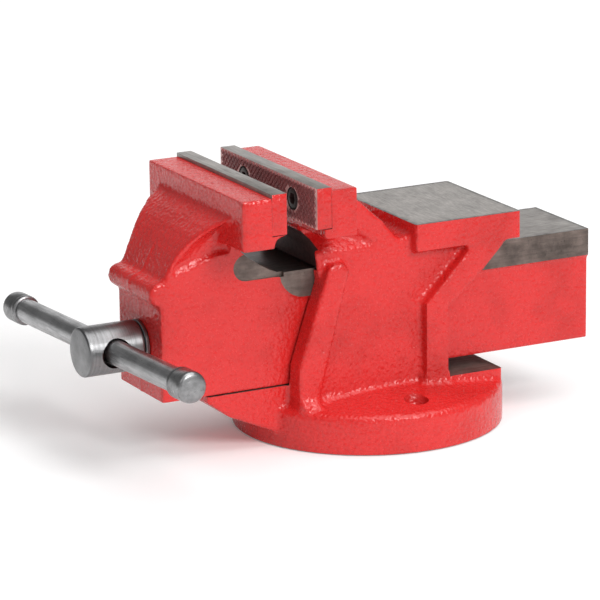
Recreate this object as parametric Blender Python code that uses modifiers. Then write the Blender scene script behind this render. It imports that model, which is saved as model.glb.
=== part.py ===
"""Bench vise: fixed round base, box-section slide, anvil, two jaw plates, sliding tommy bar."""

import math

import bmesh
import bpy
from mathutils import Matrix, Vector

MM = 0.001
FIT = 0.3 * MM

# Round base
BASE_RADIUS = 65.4 * MM
RIM_HEIGHT = 18.6 * MM
CONE_RISE = 4.2 * MM
BOLT_REACH = 49.5 * MM
BOLT_HOLE = 11.5 * MM
PAD_RADIUS = 12.0 * MM
RECESS_RADIUS = 41.0 * MM
RECESS_DEPTH = 9.0 * MM

# Fixed body
BODY_HALF = 35.0 * MM
WEB_HALF = 29.5 * MM
TONGUE_HALF = 24.0 * MM
TONGUE_TOP = 29.2 * MM
TONGUE_FRONT = -97.0 * MM
FLOOR_TOP = 24.5 * MM
FLOOR_REAR = 55.4 * MM
ANVIL_TOP = 101.27 * MM
ANVIL_BOTTOM = 87.6 * MM
ANVIL_FRONT = 8.2 * MM
ANVIL_REAR = 64.9 * MM

# Jaws and their plates
JAW_WIDTH = 100.0 * MM
JAW_GAP = 14.6 * MM
FIXED_FACE = -52.6 * MM
PLATE_THICK = 7.9 * MM
PLATE_HEIGHT = 19.5 * MM
PLATE_TOP = 129.2 * MM
FIXED_HEAD_TOP = 127.5 * MM
FIXED_HEAD_BOTTOM = 104.6 * MM
FIXED_HEAD_BACK = -31.0 * MM
MOVING_HEAD_TOP = 127.3 * MM
MOVING_HEAD_BOTTOM = 103.5 * MM
MOVING_HEAD_FRONT = -90.4 * MM

# Slide of the moving jaw
SLIDE_HALF = 23.58 * MM
BAND_HALF = 24.87 * MM
SLIDE_BOTTOM = 29.72 * MM
SLIDE_TOP = 84.66 * MM
BAND_BOTTOM = 71.5 * MM
BAND_START = -59.0 * MM
SLIDE_FRONT = -120.0 * MM
SLIDE_REAR = 109.4 * MM
CHANNEL_HALF = 17.5 * MM
CHANNEL_TOP = 76.6 * MM
FRONT_WALL = 14.0 * MM
BEAD_RADIUS = 5.5 * MM

# Spindle, nut and handle
SPINDLE_Z = 52.77 * MM
SPINDLE_HEAD = 23.8 * MM
SPINDLE_SHANK = 17.6 * MM
SPINDLE_FRONT = -151.3 * MM
SPINDLE_REAR = 96.0 * MM
WASHER_THICK = 2.0 * MM
SPRING_LENGTH = 13.5 * MM
SPRING_WIRE = 2.0 * MM
PIN_DIAMETER = 3.0 * MM
HANDLE_Y = -136.9 * MM
HANDLE_TILT = math.radians(2.5)
BAR_DIAMETER = 11.8 * MM
BAR_HOLE = 14.5 * MM
HANDLE_NEAR = 99.3 * MM
HANDLE_FAR = -99.2 * MM
HANDLE_OFFSET = -8.3 * MM
CAP_DIAMETER = 14.8 * MM
CAP_LENGTH = 14.0 * MM
NUT_HALF = 12.0 * MM
NUT_TOP = 68.0 * MM
NUT_CENTRE = -22.0 * MM
NUT_LENGTH = 30.0 * MM

# Fasteners
SCREW_REACH = 25.0 * MM
SCREW_HEAD = 10.0 * MM
SCREW_HEAD_HEIGHT = 4.6 * MM
SCREW_SHANK = 6.0 * MM
SCREW_LENGTH = 13.0 * MM
SCREW_SINK = 0.5 * MM
NUT_BOLT = 8.0 * MM
NUT_BOLT_HEAD = 5.3 * MM
NUT_WASHER_THICK = 1.6 * MM
BOLT_IN_NUT = 11.0 * MM

# Places that follow from the sizes above
MOVING_FACE = FIXED_FACE - JAW_GAP
FIXED_SEAT = FIXED_FACE + PLATE_THICK + FIT
MOVING_SEAT = MOVING_FACE - PLATE_THICK - FIT
PLATE_BOTTOM = PLATE_TOP - PLATE_HEIGHT
LEDGE_TOP = PLATE_BOTTOM - FIT
PLATE_MIDDLE = PLATE_TOP - PLATE_HEIGHT / 2
TUNNEL_HALF = BAND_HALF + FIT
TUNNEL_TOP = SLIDE_TOP + FIT
CONE_TOP = RIM_HEIGHT + CONE_RISE
HEAD_REAR = SLIDE_FRONT - WASHER_THICK - 2 * FIT
WALL_BACK = SLIDE_FRONT + FRONT_WALL
INNER_WASHER = WALL_BACK + FIT
SPRING_FRONT = INNER_WASHER + WASHER_THICK + FIT
KEEPER_FRONT = SPRING_FRONT + SPRING_LENGTH + FIT
PIN_Y = KEEPER_FRONT + WASHER_THICK + FIT + PIN_DIAMETER / 2


def clear_scene():
    for obj in list(bpy.data.objects):
        bpy.data.objects.remove(obj, do_unlink=True)


def collection(name):
    made = bpy.data.collections.new(name)
    bpy.context.scene.collection.children.link(made)
    return made


def material(name, colour, roughness, metallic):
    made = bpy.data.materials.new(name)
    made.use_nodes = True
    shader = made.node_tree.nodes["Principled BSDF"]
    shader.inputs["Base Color"].default_value = (*colour, 1.0)
    shader.inputs["Roughness"].default_value = roughness
    shader.inputs["Metallic"].default_value = metallic
    made.diffuse_color = (*colour, 1.0)
    return made


def from_bmesh(name, bm, where):
    bmesh.ops.recalc_face_normals(bm, faces=bm.faces[:])
    mesh = bpy.data.meshes.new(name)
    bm.to_mesh(mesh)
    bm.free()
    obj = bpy.data.objects.new(name, mesh)
    where.objects.link(obj)
    return obj


def outline_of(corners, steps=4):
    """Corners are (a, b) or (a, b, radius); the result is the outline with its corners rounded."""
    count = len(corners)
    points = []
    for index, corner in enumerate(corners):
        here = Vector(corner[:2])
        if len(corner) < 3:
            points.append(here)
            continue
        before = (Vector(corners[index - 1][:2]) - here).normalized()
        after = (Vector(corners[(index + 1) % count][:2]) - here).normalized()
        half = before.angle(after) / 2
        reach = corner[2] / math.tan(half)
        centre = here + (before + after).normalized() * (corner[2] / math.sin(half))
        start = here + before * reach - centre
        end = here + after * reach - centre
        turn = start.angle_signed(end)
        for step in range(steps + 1):
            angle = -turn * step / steps
            spun = Matrix.Rotation(angle, 2) @ start
            points.append(centre + spun)
    return points


def prism(name, corners, low, high, where, edge=0.0):
    """An outline in (y, z) drawn out along X from low to high, with its end edges rounded by edge."""
    bm = bmesh.new()
    ends = []
    for x in (low, high):
        ends.append([bm.verts.new((x, p[0], p[1])) for p in outline_of(corners)])
    count = len(ends[0])
    caps = [bm.faces.new(ends[0]), bm.faces.new(ends[1])]
    for i in range(count):
        j = (i + 1) % count
        bm.faces.new((ends[0][i], ends[0][j], ends[1][j], ends[1][i]))
    bmesh.ops.recalc_face_normals(bm, faces=bm.faces[:])
    if edge:
        rim = [e for cap in caps for e in cap.edges]
        bmesh.ops.bevel(bm, geom=rim, offset=edge, segments=2, profile=0.5, affect="EDGES", clamp_overlap=True)
    return from_bmesh(name, bm, where)


def box(name, low, high, where, edge=0.0):
    bm = bmesh.new()
    bmesh.ops.create_cube(bm, size=1.0)
    size = Vector(high) - Vector(low)
    middle = (Vector(high) + Vector(low)) / 2
    bmesh.ops.scale(bm, vec=size, verts=bm.verts[:])
    bmesh.ops.translate(bm, vec=middle, verts=bm.verts[:])
    if edge:
        bmesh.ops.bevel(bm, geom=bm.edges[:], offset=edge, segments=2, profile=0.5, affect="EDGES")
    return from_bmesh(name, bm, where)


def hull(name, points, where):
    bm = bmesh.new()
    verts = [bm.verts.new(p) for p in points]
    made = bmesh.ops.convex_hull(bm, input=verts)
    spare = [v for v in made["geom_interior"] if isinstance(v, bmesh.types.BMVert)]
    bmesh.ops.delete(bm, geom=spare, context="VERTS")
    return from_bmesh(name, bm, where)


def turned(name, profile, where, place, steps=48):
    """A closed or axis-to-axis profile of (radius, height), turned about the local Z axis."""
    mesh = bpy.data.meshes.new(name)
    closed = profile[0][0] > 0
    edges = [(i, i + 1) for i in range(len(profile) - 1)]
    if closed:
        edges.append((len(profile) - 1, 0))
    mesh.from_pydata([(r, 0.0, h) for r, h in profile], edges, [])
    obj = bpy.data.objects.new(name, mesh)
    where.objects.link(obj)
    obj.matrix_world = place
    screw = obj.modifiers.new("Turn", "SCREW")
    screw.axis = "Z"
    screw.angle = math.tau
    screw.steps = steps
    screw.render_steps = steps
    screw.use_merge_vertices = True
    screw.merge_threshold = 0.00001
    return obj


def cylinder(name, radius, start, end, where, sides=32):
    bm = bmesh.new()
    axis = Vector(end) - Vector(start)
    bmesh.ops.create_cone(
        bm, cap_ends=True, segments=sides, radius1=radius, radius2=radius, depth=axis.length
    )
    turn = Vector((0, 0, 1)).rotation_difference(axis.normalized()).to_matrix().to_4x4()
    middle = (Vector(start) + Vector(end)) / 2
    bmesh.ops.transform(bm, matrix=Matrix.Translation(middle) @ turn, verts=bm.verts[:])
    return from_bmesh(name, bm, where)


def sweep(name, path, radius, where, sides=10):
    """A round wire along a path, closed at both ends."""
    bm = bmesh.new()
    rings = []
    normal = None
    for i, point in enumerate(path):
        ahead = path[min(i + 1, len(path) - 1)]
        behind = path[max(i - 1, 0)]
        along = (ahead - behind).normalized()
        if normal is None:
            normal = along.orthogonal().normalized()
        normal = (normal - along * normal.dot(along)).normalized()
        side = along.cross(normal)
        ring = []
        for k in range(sides):
            angle = math.tau * k / sides
            ring.append(bm.verts.new(point + (normal * math.cos(angle) + side * math.sin(angle)) * radius))
        rings.append(ring)
    for first, second in zip(rings, rings[1:]):
        for k in range(sides):
            m = (k + 1) % sides
            bm.faces.new((first[k], first[m], second[m], second[k]))
    bm.faces.new(rings[0])
    bm.faces.new(rings[-1])
    return from_bmesh(name, bm, where)


def combine(obj, other, operation):
    modifier = obj.modifiers.new(other.name, "BOOLEAN")
    modifier.operation = operation
    modifier.solver = "EXACT"
    modifier.object = other
    other.hide_render = True
    other.display_type = "WIRE"


def join(obj, other):
    combine(obj, other, "UNION")


def cut(obj, other):
    combine(obj, other, "DIFFERENCE")


def along_y(origin=(0.0, 0.0, 0.0)):
    return Matrix.Translation(Vector(origin)) @ Matrix.Rotation(math.radians(-90), 4, "X")


def handle_place():
    middle = Matrix.Translation((0.0, HANDLE_Y, SPINDLE_Z))
    return middle @ Matrix.Rotation(math.radians(90) - HANDLE_TILT, 4, "Y")


def make_static_body(parts, tools):
    disc = [
        (0.0, CONE_TOP),
        (35 * MM, CONE_TOP - 0.2 * MM),
        (49 * MM, RIM_HEIGHT + 2.0 * MM),
        (BASE_RADIUS - 2.6 * MM, RIM_HEIGHT),
        (BASE_RADIUS - 1.0 * MM, RIM_HEIGHT - 0.4 * MM),
        (BASE_RADIUS, RIM_HEIGHT - 1.6 * MM),
        (BASE_RADIUS, 0.8 * MM),
        (BASE_RADIUS - 0.8 * MM, 0.0),
        (RECESS_RADIUS, 0.0),
        (RECESS_RADIUS, RECESS_DEPTH),
        (PAD_RADIUS, RECESS_DEPTH),
        (PAD_RADIUS, 0.0),
        (0.0, 0.0),
    ]
    body = turned("static_body", disc, parts, Matrix.Identity(4), 72)
    core = [
        (-54.0 * MM, 12 * MM),
        (-53.7 * MM, 39.3 * MM),
        (-44.7 * MM, 66.2 * MM),
        (-39.9 * MM, 80 * MM),
        (-39.7 * MM, 93 * MM),
        (-42.5 * MM, 100 * MM),
        (-47.0 * MM, FIXED_HEAD_BOTTOM + 1 * MM),
        (-43.0 * MM, 108 * MM),
        (-38.0 * MM, 122 * MM),
        (FIXED_HEAD_BACK - 2 * MM, 124.5 * MM),
        (-18.4 * MM, 114.6 * MM, 6 * MM),
        (-6.2 * MM, 103.4 * MM),
        (2.2 * MM, 93.6 * MM, 2.5 * MM),
        (9.3 * MM, 96.6 * MM),
        (14 * MM, 98 * MM),
        (60 * MM, 98 * MM),
        (57.8 * MM, ANVIL_BOTTOM + 0.4 * MM),
        (44.6 * MM, 74.8 * MM),
        (25.9 * MM, 58.9 * MM, 3 * MM),
        (25.9 * MM, 12 * MM),
    ]
    join(body, prism("core", core, -WEB_HALF, WEB_HALF, tools, 1.2 * MM))
    flange = [
        (-54.7 * MM, 10 * MM),
        (-54.3 * MM, 39.3 * MM),
        (-45.2 * MM, 66.2 * MM),
        (-37.4 * MM, 87.0 * MM, 4.5 * MM),
        (-25.6 * MM, 87.0 * MM, 4.5 * MM),
        (-32.3 * MM, 64.4 * MM),
        (-43.3 * MM, 23.8 * MM),
        (-45.7 * MM, 12 * MM),
    ]
    join(body, prism("front_flange", flange, -BODY_HALF, BODY_HALF, tools, 1.0 * MM))
    rib = [
        (13.3 * MM, 13 * MM),
        (13.5 * MM, 61.8 * MM),
        (36.3 * MM, 84.9 * MM),
        (40.0 * MM, 93 * MM),
        (57.0 * MM, 93 * MM),
        (57.3 * MM, ANVIL_BOTTOM),
        (44.6 * MM, 74.8 * MM),
        (26.1 * MM, 58.9 * MM),
        (26.1 * MM, 13 * MM),
    ]
    join(body, prism("rear_rib", rib, -BODY_HALF, BODY_HALF, tools, 0.8 * MM))
    reach = 60 * MM
    for sign, side in ((1, "near"), (-1, "far")):
        wedge = []
        for x, z, end in ((32.5, 89.5, -5), (21.5, 100.5, -17.5), (21.5, 107, -25), (45, 107, -25), (45, 89.5, -5)):
            wedge.append((sign * x * MM, -reach, z * MM))
            wedge.append((sign * x * MM, end * MM, z * MM))
        cut(body, hull("neck_slope_" + side, wedge, tools))
    head = [
        (FIXED_SEAT - 3.6 * MM, FIXED_HEAD_BOTTOM, 1 * MM),
        (FIXED_SEAT - 3.6 * MM, LEDGE_TOP),
        (FIXED_SEAT, LEDGE_TOP),
        (FIXED_SEAT, FIXED_HEAD_TOP),
        (FIXED_HEAD_BACK, FIXED_HEAD_TOP, 1.5 * MM),
        (FIXED_HEAD_BACK, FIXED_HEAD_BOTTOM, 1.5 * MM),
    ]
    join(body, prism("fixed_head", head, -JAW_WIDTH / 2, JAW_WIDTH / 2, tools, 0.8 * MM))
    anvil = [
        (ANVIL_FRONT, ANVIL_BOTTOM),
        (ANVIL_FRONT, ANVIL_TOP),
        (ANVIL_REAR, ANVIL_TOP),
        (ANVIL_REAR + 0.4 * MM, ANVIL_BOTTOM + 0.6 * MM, 1 * MM),
    ]
    join(body, prism("anvil", anvil, -BODY_HALF - 0.15 * MM, BODY_HALF + 0.15 * MM, tools, 0.5 * MM))
    tongue = [
        (TONGUE_FRONT, 31 * MM),
        (TONGUE_FRONT, 26.0 * MM),
        (-95.4 * MM, 25.0 * MM),
        (-85.6 * MM, 17.7 * MM),
        (-57.8 * MM, 5.4 * MM),
        (-50 * MM, 5.4 * MM),
        (-48 * MM, 31 * MM),
    ]
    join(body, prism("tongue", tongue, -TONGUE_HALF, TONGUE_HALF, tools))
    floor = [
        (15 * MM, 14 * MM),
        (15 * MM, FLOOR_TOP),
        (FLOOR_REAR, FLOOR_TOP),
        (FLOOR_REAR, 14 * MM),
    ]
    join(body, prism("rear_floor", floor, -BODY_HALF + 0.3 * MM, BODY_HALF - 0.3 * MM, tools, 0.6 * MM))
    tunnel = box("tunnel", (-TUNNEL_HALF, -0.12, TONGUE_TOP), (TUNNEL_HALF, 0.08, TUNNEL_TOP), tools)
    cut(body, tunnel)
    for sign, side in ((1, "near"), (-1, "far")):
        x = sign * BOLT_REACH
        cut(body, cylinder("base_hole_" + side, BOLT_HOLE / 2, (x, 0, -5 * MM), (x, 0, 40 * MM), tools))
        x = sign * SCREW_REACH
        deep = FIXED_SEAT + 10.5 * MM
        start = (x, FIXED_SEAT - 5 * MM, PLATE_MIDDLE)
        cut(body, cylinder("fixed_tap_" + side, SCREW_SHANK / 2 + FIT, start, (x, deep, PLATE_MIDDLE), tools, 24))
    bore = NUT_BOLT / 2 + FIT
    start = (0, NUT_CENTRE, RECESS_DEPTH - 4 * MM)
    cut(body, cylinder("nut_bolt_hole", bore, start, (0, NUT_CENTRE, TONGUE_TOP + 5 * MM), tools, 24))
    return body


def neck_rings():
    """Half-width, front and back of the moving jaw's neck at each height."""
    return [
        (86.0, 23.5, -118.8, -66.5),
        (91.5, 23.8, -116.2, -72.2),
        (99.6, 25.6, -112.0, -84.0),
        (104.5, 28.0, -108.2, -84.0),
        (109.0, 31.0, -104.0, -84.0),
        (113.5, 34.8, -98.0, -84.0),
        (117.5, 39.0, -90.8, -84.0),
    ]


def make_neck(tools):
    bm = bmesh.new()
    rings = []
    for z, half, front, back in neck_rings():
        round_by = 4.5 if front < -100 else 3.0
        corners = [(half, back), (half, front, round_by), (-half, front, round_by), (-half, back)]
        ring = [bm.verts.new((p[0] * MM, p[1] * MM, z * MM)) for p in outline_of(corners, 5)]
        rings.append(ring)
    for low, high in zip(rings, rings[1:]):
        for i in range(len(low)):
            j = (i + 1) % len(low)
            bm.faces.new((low[i], low[j], high[j], high[i]))
    bm.faces.new(rings[0])
    bm.faces.new(rings[-1])
    return from_bmesh("neck", bm, tools)


def make_movable_jaw(parts, tools):
    slide = [
        (SLIDE_FRONT, SLIDE_BOTTOM, 1.5 * MM),
        (SLIDE_REAR - 0.3 * MM, SLIDE_BOTTOM),
        (SLIDE_REAR - 0.3 * MM, SLIDE_TOP - 0.4 * MM),
        (BAND_START + 1.2 * MM, SLIDE_TOP - 0.4 * MM),
        (-60.5 * MM, SLIDE_TOP),
        (-64.5 * MM, 86.9 * MM),
        (-70.8 * MM, 90.9 * MM),
        (-78.6 * MM, 96.6 * MM),
        (-83.0 * MM, 104.5 * MM),
        (-100 * MM, 104.5 * MM),
        (-117.5 * MM, 88 * MM),
        (SLIDE_FRONT - 0.4 * MM, 81 * MM),
    ]
    jaw = prism("movable_jaw", slide, -SLIDE_HALF, SLIDE_HALF, parts, 1.2 * MM)
    join(jaw, make_neck(tools))
    band = [
        (BAND_START, SLIDE_TOP),
        (BAND_START + 0.6 * MM, 80.7 * MM),
        (BAND_START + 2.6 * MM, 76.9 * MM),
        (BAND_START + 5.7 * MM, 73.7 * MM),
        (BAND_START + 9.3 * MM, 71.9 * MM),
        (BAND_START + 12.5 * MM, BAND_BOTTOM),
        (SLIDE_REAR, BAND_BOTTOM),
        (SLIDE_REAR, SLIDE_TOP),
    ]
    join(jaw, prism("band", band, -BAND_HALF, BAND_HALF, tools))
    middle = (SLIDE_FRONT, 81.5 * MM)
    ends = ((-SLIDE_HALF + FIT, *middle), (SLIDE_HALF - FIT, *middle))
    join(jaw, cylinder("bead", BEAD_RADIUS, ends[0], ends[1], tools))
    head = [
        (MOVING_HEAD_FRONT, MOVING_HEAD_BOTTOM, 1.5 * MM),
        (MOVING_SEAT + 1.8 * MM, MOVING_HEAD_BOTTOM),
        (MOVING_SEAT + 2.2 * MM, 106.5 * MM),
        (MOVING_SEAT + 4.3 * MM, 107.9 * MM),
        (MOVING_FACE - 0.4 * MM, 108.6 * MM),
        (MOVING_FACE - 0.4 * MM, LEDGE_TOP),
        (MOVING_SEAT, LEDGE_TOP),
        (MOVING_SEAT, MOVING_HEAD_TOP),
        (MOVING_HEAD_FRONT, MOVING_HEAD_TOP, 1.5 * MM),
    ]
    join(jaw, prism("moving_head", head, -JAW_WIDTH / 2, JAW_WIDTH / 2, tools, 0.8 * MM))
    pocket = [(-82.6 * MM, 82.5 * MM, 6.6 * MM), (-82.6 * MM, 95.9 * MM, 6.6 * MM)]
    pocket += [(-60 * MM, 95.9 * MM), (-60 * MM, 82.5 * MM)]
    cut(jaw, prism("pocket_near", pocket, SLIDE_HALF - 0.7 * MM, BODY_HALF, tools))
    cut(jaw, prism("pocket_far", pocket, -BODY_HALF, -SLIDE_HALF + 0.7 * MM, tools))
    channel = box("channel", (-CHANNEL_HALF, WALL_BACK, 0.02), (CHANNEL_HALF, 0.12, CHANNEL_TOP), tools)
    cut(jaw, channel)
    bore = SPINDLE_SHANK / 2 + FIT
    ends = ((0, SLIDE_FRONT - 10 * MM, SPINDLE_Z), (0, WALL_BACK + 5 * MM, SPINDLE_Z))
    cut(jaw, cylinder("spindle_bore", bore, ends[0], ends[1], tools))
    for sign, side in ((1, "near"), (-1, "far")):
        x = sign * SCREW_REACH
        deep = MOVING_SEAT - 10.5 * MM
        start = (x, MOVING_SEAT + 5 * MM, PLATE_MIDDLE)
        cut(jaw, cylinder("moving_tap_" + side, SCREW_SHANK / 2 + FIT, start, (x, deep, PLATE_MIDDLE), tools, 24))
    return jaw


def make_plate(name, face, facing, parts, tools):
    """A jaw plate whose gripping face is at y = face and looks along facing (+1 or -1)."""
    back = face - facing * PLATE_THICK
    low = (-JAW_WIDTH / 2, min(face, back), PLATE_BOTTOM)
    high = (JAW_WIDTH / 2, max(face, back), PLATE_TOP)
    plate = box(name, low, high, parts, 0.5 * MM)
    for x in (-SCREW_REACH, SCREW_REACH):
        tag = "near" if x > 0 else "far"
        sunk = face - facing * (SCREW_SINK + SCREW_HEAD_HEIGHT + FIT)
        ends = ((x, face + facing * 3 * MM, PLATE_MIDDLE), (x, sunk, PLATE_MIDDLE))
        cut(plate, cylinder(f"{name}_sink_{tag}", SCREW_HEAD / 2 + FIT, ends[0], ends[1], tools))
        ends = ((x, face - facing * 2 * MM, PLATE_MIDDLE), (x, back - facing * 3 * MM, PLATE_MIDDLE))
        cut(plate, cylinder(f"{name}_hole_{tag}", SCREW_SHANK / 2 + FIT, ends[0], ends[1], tools, 24))
    return plate


def make_jaw_screw(name, x, face, facing, parts, tools):
    top = -SCREW_SINK
    under = top - SCREW_HEAD_HEIGHT
    profile = [
        (0.0, top),
        (SCREW_HEAD / 2 - 0.4 * MM, top),
        (SCREW_HEAD / 2, top - 0.4 * MM),
        (SCREW_HEAD / 2, under),
        (SCREW_SHANK / 2, under),
        (SCREW_SHANK / 2, under - SCREW_LENGTH + 0.8 * MM),
        (SCREW_SHANK / 2 - 0.8 * MM, under - SCREW_LENGTH),
        (0.0, under - SCREW_LENGTH),
    ]
    spin = Matrix.Rotation(math.radians(-90 * facing), 4, "X")
    place = Matrix.Translation((x, face, PLATE_MIDDLE)) @ spin
    screw = turned(name, profile, parts, place, 32)
    mouth = (x, face + facing * 2 * MM, PLATE_MIDDLE)
    bottom = (x, face + facing * (top - 2.5 * MM), PLATE_MIDDLE)
    cut(screw, cylinder(name + "_socket", 2.9 * MM, mouth, bottom, tools, 6))
    return screw


def make_spindle(parts, tools):
    head = SPINDLE_HEAD / 2
    shank = SPINDLE_SHANK / 2
    profile = [
        (0.0, SPINDLE_REAR),
        (shank - 1.5 * MM, SPINDLE_REAR),
        (shank, SPINDLE_REAR - 1.5 * MM),
        (shank, HEAD_REAR),
        (head - 0.6 * MM, HEAD_REAR),
        (head, HEAD_REAR - 0.6 * MM),
        (head, SPINDLE_FRONT + 1.2 * MM),
        (head - 1.2 * MM, SPINDLE_FRONT),
        (0.0, SPINDLE_FRONT),
    ]
    spindle = turned("spindle", profile, parts, along_y((0, 0, SPINDLE_Z)), 64)
    reach = SPINDLE_HEAD
    ends = ((-reach, HANDLE_Y, SPINDLE_Z), (reach, HANDLE_Y, SPINDLE_Z))
    cut(spindle, cylinder("handle_hole", BAR_HOLE / 2, ends[0], ends[1], tools, 40))
    ends = ((-reach, PIN_Y, SPINDLE_Z), (reach, PIN_Y, SPINDLE_Z))
    cut(spindle, cylinder("pin_hole", PIN_DIAMETER / 2 + FIT, ends[0], ends[1], tools, 20))
    return spindle


def make_ring(name, front, outer, thick, parts):
    """A flat washer round the spindle, its front face at y = front."""
    bore = SPINDLE_SHANK / 2 + FIT
    outside = outer / 2
    soft = 0.3 * MM
    profile = [
        (bore, front + thick),
        (outside - soft, front + thick),
        (outside, front + thick - soft),
        (outside, front + soft),
        (outside - soft, front),
        (bore, front),
    ]
    return turned(name, profile, parts, along_y((0, 0, SPINDLE_Z)), 48)


def make_spring(parts):
    coils = 3.5
    steps = 70
    wire = SPRING_WIRE / 2
    radius = SPINDLE_SHANK / 2 + 1.0 * MM + wire
    start = SPRING_FRONT + wire
    length = SPRING_LENGTH - SPRING_WIRE
    path = []
    for i in range(steps + 1):
        angle = math.tau * coils * i / steps
        y = start + length * i / steps
        path.append(Vector((radius * math.cos(angle), y, SPINDLE_Z + radius * math.sin(angle))))
    return sweep("take_up_spring", path, wire, parts, 10)


def make_split_pin(parts):
    """Round wire through the spindle, hooked at one end and bent over at the other."""
    reach = SPINDLE_SHANK / 2 + 1.6 * MM
    eye = 2.6 * MM
    path = []
    for i in range(10):
        angle = math.radians(-60 - 210 * (1 - i / 9))
        path.append(Vector((-reach - eye + eye * math.sin(angle), PIN_Y, eye + eye * math.cos(angle))))
    hook = path[-1]
    path = [Vector((p.x, p.y, p.z - hook.z)) for p in path]
    path.append(Vector((reach, PIN_Y, 0)))
    path.append(Vector((reach + 1.2 * MM, PIN_Y, -0.9 * MM)))
    path.append(Vector((reach + 1.4 * MM, PIN_Y, -3.4 * MM)))
    path = [p + Vector((0, 0, SPINDLE_Z)) for p in path]
    return sweep("split_pin", path, PIN_DIAMETER / 2, parts, 12)


def make_nut(parts, tools):
    bottom = TONGUE_TOP + FIT
    front = NUT_CENTRE - NUT_LENGTH / 2
    rear = NUT_CENTRE + NUT_LENGTH / 2
    nut = box("spindle_nut", (-NUT_HALF, front, bottom), (NUT_HALF, rear, NUT_TOP), parts, 1.5 * MM)
    bore = SPINDLE_SHANK / 2 + FIT
    ends = ((0, front - 5 * MM, SPINDLE_Z), (0, rear + 5 * MM, SPINDLE_Z))
    cut(nut, cylinder("nut_bore", bore, ends[0], ends[1], tools))
    ends = ((0, NUT_CENTRE, bottom - 5 * MM), (0, NUT_CENTRE, bottom + BOLT_IN_NUT + 1 * MM))
    cut(nut, cylinder("nut_tap", NUT_BOLT / 2 + FIT, ends[0], ends[1], tools, 24))
    return nut


def make_nut_bolt(parts, tools):
    top = RECESS_DEPTH - FIT - NUT_WASHER_THICK - FIT
    end = TONGUE_TOP + FIT + BOLT_IN_NUT
    ends = ((0, NUT_CENTRE, top - 1 * MM), (0, NUT_CENTRE, end))
    bolt = cylinder("nut_bolt", NUT_BOLT / 2, ends[0], ends[1], parts, 24)
    ends = ((0, NUT_CENTRE, top - NUT_BOLT_HEAD), (0, NUT_CENTRE, top))
    join(bolt, cylinder("nut_bolt_hex", 7.5 * MM, ends[0], ends[1], tools, 6))
    return bolt


def make_nut_washer(parts):
    top = RECESS_DEPTH - FIT
    inner = NUT_BOLT / 2 + FIT
    profile = [(inner, top), (8 * MM, top), (8 * MM, top - NUT_WASHER_THICK), (inner, top - NUT_WASHER_THICK)]
    place = Matrix.Translation((0, NUT_CENTRE, 0))
    return turned("nut_bolt_washer", profile, parts, place, 40)


def make_handle(parts, tools):
    bar = BAR_DIAMETER / 2
    spigot = 4.0 * MM
    low = HANDLE_FAR + HANDLE_OFFSET + CAP_LENGTH + FIT
    high = HANDLE_NEAR + HANDLE_OFFSET - CAP_LENGTH - FIT
    deep = 9.0 * MM
    profile = [
        (0.0, high + deep),
        (spigot, high + deep),
        (spigot, high),
        (bar - 0.3 * MM, high),
        (bar, high - 0.3 * MM),
        (bar, low + 0.3 * MM),
        (bar - 0.3 * MM, low),
        (spigot, low),
        (spigot, low - deep),
        (0.0, low - deep),
    ]
    pieces = [turned("handle_bar", profile, parts, handle_place(), 40)]
    for name, inner, sign in (("handle_cap_near", high + FIT, 1), ("handle_cap_far", low - FIT, -1)):
        cap = CAP_DIAMETER / 2
        hole = spigot + FIT
        outline = [
            (0.0, inner + sign * CAP_LENGTH),
            (cap - 1.2 * MM, inner + sign * CAP_LENGTH),
            (cap, inner + sign * (CAP_LENGTH - 1.0 * MM)),
            (cap, inner + sign * 1.0 * MM),
            (cap - 1.0 * MM, inner),
            (hole, inner),
            (hole, inner + sign * (deep + FIT)),
            (0.0, inner + sign * (deep + FIT)),
        ]
        if sign < 0:
            outline.reverse()
        pieces.append(turned(name, outline, parts, handle_place(), 40))
    return pieces


def parent_to_axis(name, place, pieces, where):
    axis = bpy.data.objects.new(name, None)
    where.objects.link(axis)
    axis.matrix_world = place
    bpy.context.view_layer.update()
    for piece in pieces:
        piece.parent = axis
        piece.matrix_parent_inverse = axis.matrix_world.inverted()


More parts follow.
